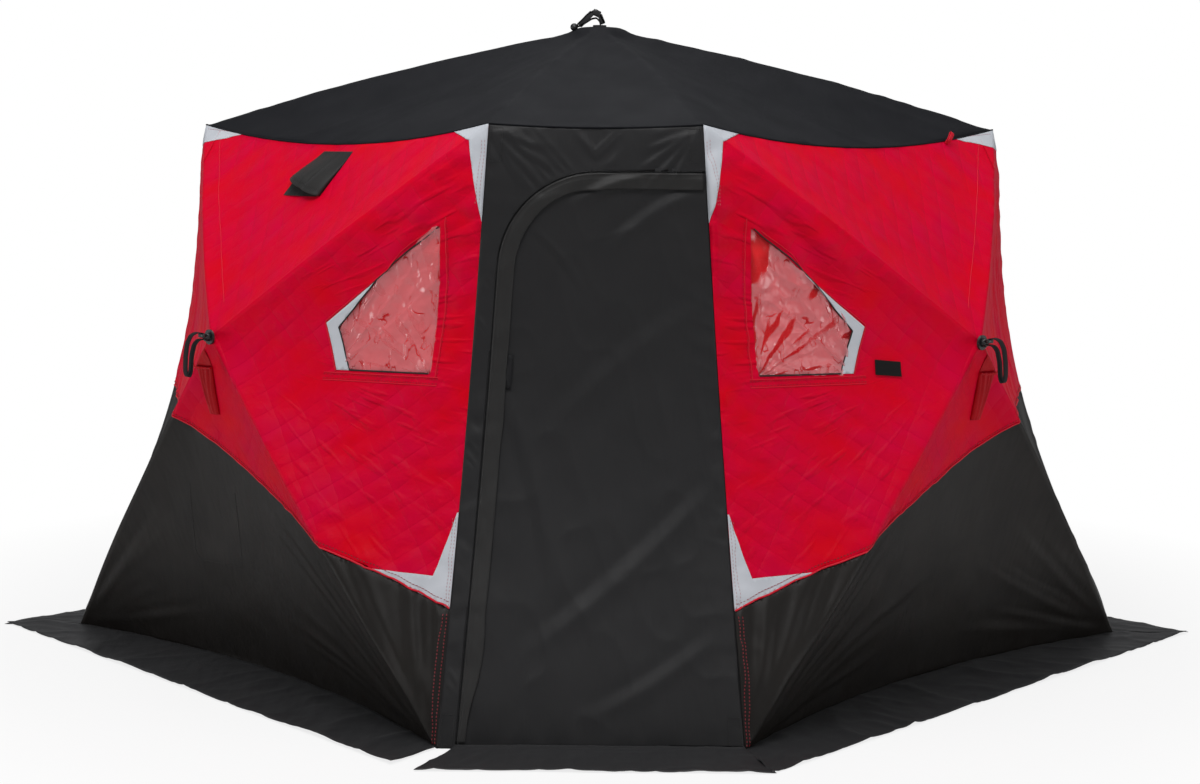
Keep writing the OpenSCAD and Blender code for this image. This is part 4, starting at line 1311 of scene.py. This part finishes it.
def flap_strip(panel, name, body, lift_seed):
    """The weather flap: sewn down beside the zip, with a free inner edge that waves and curls."""
    outer = zip_run(-ZIP_HALF, 0.006, DOOR_LIFT, 0.004)
    ahead = way_along(outer)
    square = np.column_stack([ahead[:, 1], -ahead[:, 0]])
    bm, share, up = new_grid(10, len(outer) - 1)
    row = np.round(up * (len(outer) - 1)).astype(int)
    count = np.arange(len(outer))
    wave = 0.5 + 0.5 * noise(count / 9.0, 0.0 * count, lift_seed)
    narrow = 0.45 + 0.55 * smooth(outer[:, 1], 0.02, 0.26)
    sway = 0.0025 * noise(count / 14.0, 0.0 * count, lift_seed + 1)
    points = []
    for w, k in zip(share, row):
        spot = outer[k] + square[k] * (FLAP_WIDTH * narrow[k] * w + sway[k] * w)
        rise = 0.0010 + 0.0036 * math.sin(min(w, 1) * math.pi * 0.75) + 0.0030 * wave[k] * w ** 3
        rise -= 0.0016 * math.exp(-((w - 0.18) / 0.05) ** 2)
        points.append(panel.on(spot, rise))
    write_points(bm, np.array(points) * panel.way)
    face_along(bm, -BACK * panel.way[1])
    obj = finish_piece(bm, name, TRIM_CLOTH, body=body, uv=lambda p: (p[:, 0], p[:, 2]))
    thicken(obj, 0.0012, outward=True)
    return obj, outer, square


def corner_outline(side, high):
    """A sewn corner piece of the front panel, beside a seam; high is its eave end."""
    low, top = (1.578, 1.676) if high else (0.010, 0.086)
    near, far = 0.008, 0.008 + 0.033
    corners = ((far, low), (near, low), (near, top), (far, top))
    return [(side * (panel_seam_x(z) - inward), z) for inward, z in corners]


def bend_at_hinge(obj):
    """Takes a piece off its body and its parent, keeps it where it is and bakes that place into its mesh;
    nothing is bent.
    """
    bpy.context.view_layer.update()
    place = obj.matrix_world.copy()
    if "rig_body" in obj:
        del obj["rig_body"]
    obj.parent = None
    obj.matrix_world = place
    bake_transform(obj)


def build_front_cloth(panel, within, beyond):
    """The door, the cloth round it, the tapes behind its seams and the teeth of its zip."""
    surround = panel.piece("surround_cloth", ~beyond)
    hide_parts("door_surround")
    declare_sheet(surround,
                  area=panel.area[~beyond].sum())
    door = panel.piece("door_cloth", within, body="door")
    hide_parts("front_door")
    declare_sheet(door, area=panel.area[within].sum())
    seam = [(panel_seam_x(z) - 0.006, z) for z in np.linspace(0.004, DOOR_TOP + 0.02, 120)]
    for name, line in (("zip_tape", zip_run(0.0, 0.012, 0.002, 0.004)), ("hinge_tape", seam)):
        across = [np.array([d[1], 0, -d[0]]) * 0.011 for d in way_along(line)]
        tape = ribbon_sheet(name, [panel.on(p, -0.0045) for p in line], across, LINING, thickness=0.001)
    for name, grown, rides in (("zip_teeth_surround", 0.0022, "root"), ("zip_teeth_door", -0.0022, "door")):
        line = zip_run(grown, 0.01, 0.014, 0.006)
        dashes(name, [panel.path(line)], ZIP_PLASTIC, body=rides, length=0.0016, gap=0.0016, radius=0.0011)


def build_panel(label, seed, turned_round, body):
    panel = Panel(seed, *(BACK_PANEL_DETAIL if turned_round else PANEL_DETAIL), turned_round)
    x, z = panel.centres.T
    beyond, within = (
        inside(panel.centres, zip_line(grown, 0.3) + [(0.9, -0.1)]) for grown in (ZIP_HALF, -ZIP_HALF)
    )
    within &= (x < panel_seam_x(z) - HINGE_GAP) & ~((x > BASE_HALF - DOOR_HEEL) & (z < DOOR_LIFT))
    if turned_round:
        sheet = panel.piece("back_cloth", np.ones(len(x), bool))
        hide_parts("back_panel")
        declare_sheet(sheet,
                      area=panel.area.sum())
    else:
        build_front_cloth(panel, within, beyond)
    flap, outer, square = flap_strip(panel, f"{label}_weather_flap", body, seed + 30)
    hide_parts("back_storm_flap" if turned_round else "door_storm_flap")
    declare_sheet(flap,
                  area=0.9 * FLAP_FLAT[0] * FLAP_FLAT[1])
    rows = [panel.path(outer[4:-1] + square[4:-1] * away, 0.0030, 0.005) for away in (0.003, 0.0125)]
    dashes(f"{label}_flap_stitches", rows, STITCH, body=body, **LONG_STITCH, radius=0.0007)
    corners = [corner_outline(side, high) for side, high in ((-1, False), (-1, True), (1, True), (1, False))]
    *fixed, low_right = [panel.path(outline + outline[:1], 0.0012, 0.006) for outline in corners]
    if turned_round:
        fixed.append(low_right)
    dashes(f"{label}_corner_stitches", fixed, STITCH, **LONG_STITCH, radius=0.0008)
    if not turned_round:
        dashes("door_corner_stitches", [low_right], STITCH, body=body, **LONG_STITCH, radius=0.0008)
        for name in ("door_cloth", "zip_teeth_door", "front_weather_flap", "front_flap_stitches",
                     "door_corner_stitches"):
            bend_at_hinge(bpy.data.objects[name])
    return panel


front = build_panel("front", 201, False, "door")
build_panel("back", 307, True, "root")


def pull_tab():
    """The door's pull tab: a folded strip of webbing beside the flap."""
    low, high, half_width = 0.942, 1.038, 0.0075
    path = []
    for z in np.linspace(low, high, 9):
        x = zip_x(z, -ZIP_HALF - FLAP_WIDTH) + half_width
        path.append(front.on((x, z), 0.0035 + 0.002 * math.sin((z - low) / (high - low) * math.pi)))
    obj = ribbon_sheet("door_pull_strap", path, [ACROSS * half_width] * 9, WEBBING, body="door",
                       thickness=0.0022)
    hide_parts("door_pull_tab")


pull_tab()

# ---- Roof ----

ROOF_DETAIL = 76
# The eave's six edges, each from t = 0 to 1
SECTORS = (
    eave_edge,
    lambda t: eave_edge(1 - t) * (1, -1, 1),
    lambda t: panel_surface(t, 0 * t + 1) * (-1, -1, 1),
    lambda t: eave_edge(t) * (-1, -1, 1),
    lambda t: eave_edge(1 - t) * (-1, 1, 1),
    lambda t: panel_surface(t, 0 * t + 1),
)


def roof_surface(flat):
    """Places points of a hexagon on the roof, with each one's share out from its middle, along its edge
    and which edge it is."""
    points = np.zeros((len(flat), 3))
    out = np.full((len(flat), 3), -1.0)
    for k, edge in enumerate(SECTORS):
        a, b = math.radians(60 * k - 60), math.radians(60 * k)
        basis = np.array([[math.cos(a), math.cos(b)], [math.sin(a), math.sin(b)]])
        share = flat[:, :2] @ np.linalg.inv(basis).T
        here = (share >= -1e-6).all(axis=1) & (out[:, 0] < 0)
        s = np.clip(share[here].sum(axis=1), 0, 1)
        t = np.clip(share[here][:, 1] / np.maximum(s, 1e-9), 0, 1)
        rim = edge(t)
        place = APEX + (rim - APEX) * s[:, None]
        place[:, 2] += ROOF_BOW * ((1 - t) ** 3 + t ** 3) * hump(s, 1)
        crown = smooth(np.linalg.norm(place[:, :2], axis=1), CROWN_RADIUS, CROWN_RADIUS + 0.06)
        place[:, 2] = ROOF_HEIGHT * (1 - crown) + place[:, 2] * crown
        points[here] = place
        out[here] = np.column_stack([s, t, np.full(here.sum(), k)])
    return points, out


def build_roof():
    bm = new_disc(6, ROOF_DETAIL)
    # The circle's first corner is on Y; the eave's corners are 30 degrees round from there
    bmesh.ops.rotate(bm, verts=bm.verts, matrix=Matrix.Rotation(math.radians(30), 3, "Z"))
    points, place = roof_surface(read_points(bm)[:, :2])
    write_points(bm, points)
    area = areas_of(bm).sum()
    s, t = place[:, 0], place[:, 1]
    x, y = points[:, 0], points[:, 1]
    seam = np.minimum(t, 1 - t) * s
    out = 0.0050 * noise(x / 0.30, y / 0.30, 401) + 0.0022 * noise(x / 0.11, y / 0.11, 402)
    angle = np.arctan2(y, x)
    out += 0.0035 * crests(angle * 7, s * 2.5, 403) * smooth(s, 0.05, 0.3)
    out *= smooth(seam, 0.0, 0.12)
    out += 0.0020 * noise(s / 0.030, angle * 3, 404) * np.exp(-seam / 0.03)
    out += 0.0026 * noise(angle * 22, s * 0 + 1, 405) * np.exp(-(1 - s) / 0.05)
    out -= 0.0022 * np.exp(-(seam / 0.006) ** 2) * smooth(s, 0.06, 0.12)
    out *= smooth(1 - s, 0.0, 0.02) * smooth(s, 0.03, 0.10)
    write_points(bm, points + normals_of(bm) * out[:, None])
    obj = finish_piece(bm, "roof_cloth_sheet", ROOF_CLOTH, LINING, uv=lambda p: (p[:, 0], p[:, 1]))
    thicken(obj, CLOTH, lining=True)
    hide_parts("roof_front", "roof_back", "roof_front_left", "roof_front_right", "roof_back_left",
                "roof_back_right", "roof_crown")
    rims = [edge(np.linspace(0, 1, 60)) + UP * 0.0005 for edge in SECTORS]
    piping = tube("eave_piping", rims, 0.0030, ROOF_CLOTH)
    declare_sheet(obj, area=area)


def build_roof_loop():
    """The webbing loop on the crown, bent over to one side, with its buckle and a ball at its end."""
    base = np.array([0.0, 0.0, ROOF_HEIGHT + 0.001])
    outline = [(0.004, 0.000), (0.001, 0.018), (-0.010, 0.030), (-0.026, 0.027), (-0.046, 0.014),
               (-0.066, 0.002), (-0.074, 0.002), (-0.072, 0.009), (-0.056, 0.024), (-0.040, 0.041),
               (-0.026, 0.049), (-0.012, 0.056), (-0.003, 0.050), (0.004, 0.034), (0.012, 0.020),
               (0.013, 0.012)]
    line = smoothed(outline, 0.003, 2)
    path = base + ACROSS * line[:, :1] + UP * line[:, 1:]
    strap = ribbon_sheet("roof_loop_strap", path, [BACK * 0.010] * len(path), WEBBING, thickness=0.0050)
    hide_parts("roof_loop")
    bm = bmesh.new()
    bmesh.ops.create_uvsphere(bm, u_segments=32, v_segments=18, radius=0.0125)
    bmesh.ops.translate(bm, verts=bm.verts, vec=Vector(base - ACROSS * 0.083))
    finish_piece(bm, "roof_loop_ball", HUB_PLASTIC)
    for number, (x, z, size, turn) in enumerate((
        (-0.045, 0.026, (0.060, 0.020, 0.018), -0.78), (-0.010, 0.045, (0.026, 0.022, 0.020), 0.4),
        (0.006, 0.026, (0.015, 0.020, 0.032), -0.40),
    )):
        buckle = bevelled_box(f"roof_loop_buckle_{number}", size, 0.003, 3, Matrix.Rotation(turn, 3, "Y"),
                              base + ACROSS * x + UP * z, BUCKLE)


build_roof()
build_roof_loop()

# ---- Ground skirt ----

def crinkled(u, v, seed, height=0.010):
    """How high a loose skirt stands off the ground."""
    rise = 0.55 * crests(u / 0.17 + v * 1.2, v / 0.22, seed)
    rise += 0.40 * crests(u / 0.11 - v * 2.0, v / 0.12, seed + 1)
    rise += 0.35 * (0.5 + 0.5 * noise(u / 0.3, v / 0.2, seed + 2))
    rise += 0.15 * crests(u / 0.04, v / 0.05, seed + 3)
    return 0.0012 + height * rise


def skirt_strip(name, inner, outer, seed, columns=170, rows=16, height=0.010, lean=0.02):
    """A loose strip on the ground between two paths, which rises a little to its sewn inner edge."""
    bm, along, across = new_grid(columns, rows)
    inner, outer = resample(inner, 1e-3)[:, :2], resample(outer, 1e-3)[:, :2]
    at_inner, at_outer = (
        np.column_stack([np.interp(along * (len(edge) - 1), range(len(edge)), edge[:, i]) for i in (0, 1)])
        for edge in (inner, outer)
    )
    level = at_inner + (at_outer - at_inner) * across[:, None]
    width = np.linalg.norm(at_outer - at_inner, axis=1)
    length = np.linalg.norm(np.diff(outer, axis=0), axis=1).sum()
    run = along * length
    z = crinkled(run, across * width, seed, height) * (0.35 + 0.65 * smooth(across, 0, 0.25))
    z = z + lean * 0.2 * np.exp(-across * 9)
    ragged = 0.0025 * noise(run / 0.22, 0 * run, seed + 5) + 0.0006 * noise(run / 0.05, 0 * run, seed + 6)
    push = (at_outer - at_inner) / np.maximum(width, 1e-6)[:, None]
    level = level + push * (ragged * across ** 2)[:, None]
    write_points(bm, np.column_stack([level, z]))
    face_along(bm, UP)
    area = areas_of(bm).sum()
    obj = finish_piece(bm, name, SKIRT_CLOTH, uv=lambda p: (p[:, 0], p[:, 1]))
    thicken(obj, 0.001, outward=True)
    declare_sheet(obj, area)
    return obj


SEWN_IN = 0.002
CORNER_X = (BASE_FRONT @ OUT + 0.180 + FRONT_SKIRT * OUT[1]) / OUT[0]
FREE_END = np.array([CORNER_X + 0.050, -FRONT_SKIRT + 0.050 * ALONG[1] / ALONG[0], 0])
MITRE_END = np.array([CORNER_X, -FRONT_SKIRT, 0])
TIP = np.array([SKIRT_TIP, 0, 0])

base_line = base_edge(np.linspace(0, 1, 40)) - OUT * SEWN_IN
SIDE_OVERLAP = np.array([0, 0.012, 0])
base_line = np.vstack([base_line[:1] + SIDE_OVERLAP, base_line])
for name, end, seed in (
    ("front_left", FREE_END, 510), ("front_right", MITRE_END, 520), ("back_left", MITRE_END, 530),
    ("back_right", FREE_END, 540),
):
    edge = np.array([TIP + SIDE_OVERLAP, end])
    skirt = skirt_strip(f"ground_skirt_{name}", base_line * WALLS[name], edge * WALLS[name], seed)
    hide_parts(f"skirt_{name}")

left_end = zip_x(0, ZIP_HALF)
corner_start = BASE_FRONT - OUT * SEWN_IN
front_skirt = skirt_strip(
    "ground_skirt_door",
    [corner_start, (BASE_HALF - 0.03, -BASE_REACH - 0.003, 0), (left_end, -BASE_REACH - 0.003, 0)],
    [MITRE_END + (0.012, 0, 0), (-CORNER_X + 0.016, -FRONT_SKIRT, 0)],
    550, columns=90, height=0.008, lean=0.055,
)
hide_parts("door_skirt")
bend_at_hinge(front_skirt)
back_skirt = skirt_strip(
    "ground_skirt_back",
    [(BASE_HALF - 0.003, BASE_REACH + 0.003, 0), (-BASE_HALF, BASE_REACH + 0.003, 0)],
    [(CORNER_X - 0.016, FRONT_SKIRT, 0), (-CORNER_X - 0.012, FRONT_SKIRT, 0)],
    560, columns=90, height=0.008,
)
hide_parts("skirt_back")
# A dark strip behind the gap under the door, painted shade: it stands for the dark inside of the hut, which
# would otherwise show as white floor
gap_shade_path = [np.array([x, -BASE_REACH + 0.016, 0.011]) for x in np.linspace(0.14, BASE_HALF - 0.012, 40)]
ribbon_sheet("door_gap_shade_strip", gap_shade_path, [UP * 0.010] * len(gap_shade_path), LINING)

# ---- Finishes of the shown frame ----

# Every other node has a piece in its place, so its own finish doesn't show
NODE_FINISHES = {
    "wall_hubs": HUB_PLASTIC, "roof_hub": HUB_PLASTIC, "eave_cups": HUB_PLASTIC, "ground_cups": HUB_PLASTIC,
    "roof_rods": FIBREGLASS, "trim_tabs": HOOK_TAPE, **{f"rods_{name}": FIBREGLASS for name in WALLS},
}
for name, node in frame["nodes"].items():
    for slot in node.material_slots:
        slot.material = NODE_FINISHES.get(name, BLACK_WALL)

# ---- Light, floor and view ----

def make_stage():
    """A pale floor that takes the hut's shadow near it and fades to plain white further out."""
    bm = bmesh.new()
    bmesh.ops.create_grid(bm, x_segments=1, y_segments=1, size=40)
    mesh = bpy.data.meshes.new("floor")
    bm.to_mesh(mesh)
    bm.free()
    material, tree, shader = new_material("pale floor")
    feed(tree, shader, {"Base Color": (0.80, 0.80, 0.80, 1), "Roughness": 0.9, "Specular IOR Level": 0.0})
    place = add(tree, "ShaderNodeTexCoord")["Object"]
    length = add(tree, "ShaderNodeVectorMath", {0: place}, operation="LENGTH")["Value"]
    far = step_node(tree, length, 1.9, 3.0, "LINEAR", 0.80)
    seen = times(tree, add(tree, "ShaderNodeLightPath")["Is Camera Ray"], far)
    glow = add(tree, "ShaderNodeEmission", {"Color": (1, 1, 1, 1)})[0]
    shown = add(tree, "ShaderNodeMixShader", {0: seen, 1: shader.outputs[0], 2: glow})[0]
    feed(tree, tree.nodes["Material Output"], {"Surface": shown})
    link_mesh("floor", mesh, material)


def make_world():
    """A soft white surround, which the camera itself sees as plain white."""
    world = bpy.data.worlds.new("studio")
    bpy.context.scene.world = world
    world.use_nodes = True
    tree = world.node_tree
    backing = tree.nodes["Background"]
    feed(tree, backing, {"Color": (0.97, 0.98, 1, 1), "Strength": 0.28})
    white = add(tree, "ShaderNodeBackground", {"Color": (1, 1, 1, 1)})[0]
    seen = add(tree, "ShaderNodeLightPath")["Is Camera Ray"]
    shown = add(tree, "ShaderNodeMixShader", {0: seen, 1: backing.outputs[0], 2: white})[0]
    feed(tree, tree.nodes["World Output"], {"Surface": shown})


def make_light(name, place, target, size, power):
    data = bpy.data.lights.new(name, "AREA")
    data.shape = "RECTANGLE"
    data.size, data.size_y = size
    data.energy = power
    light = bpy.data.objects.new(name, data)
    bpy.context.collection.objects.link(light)
    way = Vector(target) - Vector(place)
    light.matrix_world = Matrix.Translation(place) @ way.to_track_quat("-Z", "Y").to_matrix().to_4x4()


make_stage()
make_world()
make_light("key", (-0.6, -3.2, 5.8), (0, 0, 0.9), (3.2, 1.8), 215)
make_light("fill", (3.6, -5.2, 2.4), (0.3, 0, 0.8), (2.6, 2.2), 22)
make_light("top", (0.0, 0.6, 5.6), (0, 0, 1.0), (3.0, 3.0), 70)
make_light("left side", (-5.6, -1.8, 0.9), (-0.8, -0.4, 0.9), (2.2, 1.4), 55)
make_light("right side", (5.6, -1.8, 0.9), (0.8, -0.4, 0.9), (2.2, 1.4), 45)
bpy.context.scene.view_settings.view_transform = "Standard"
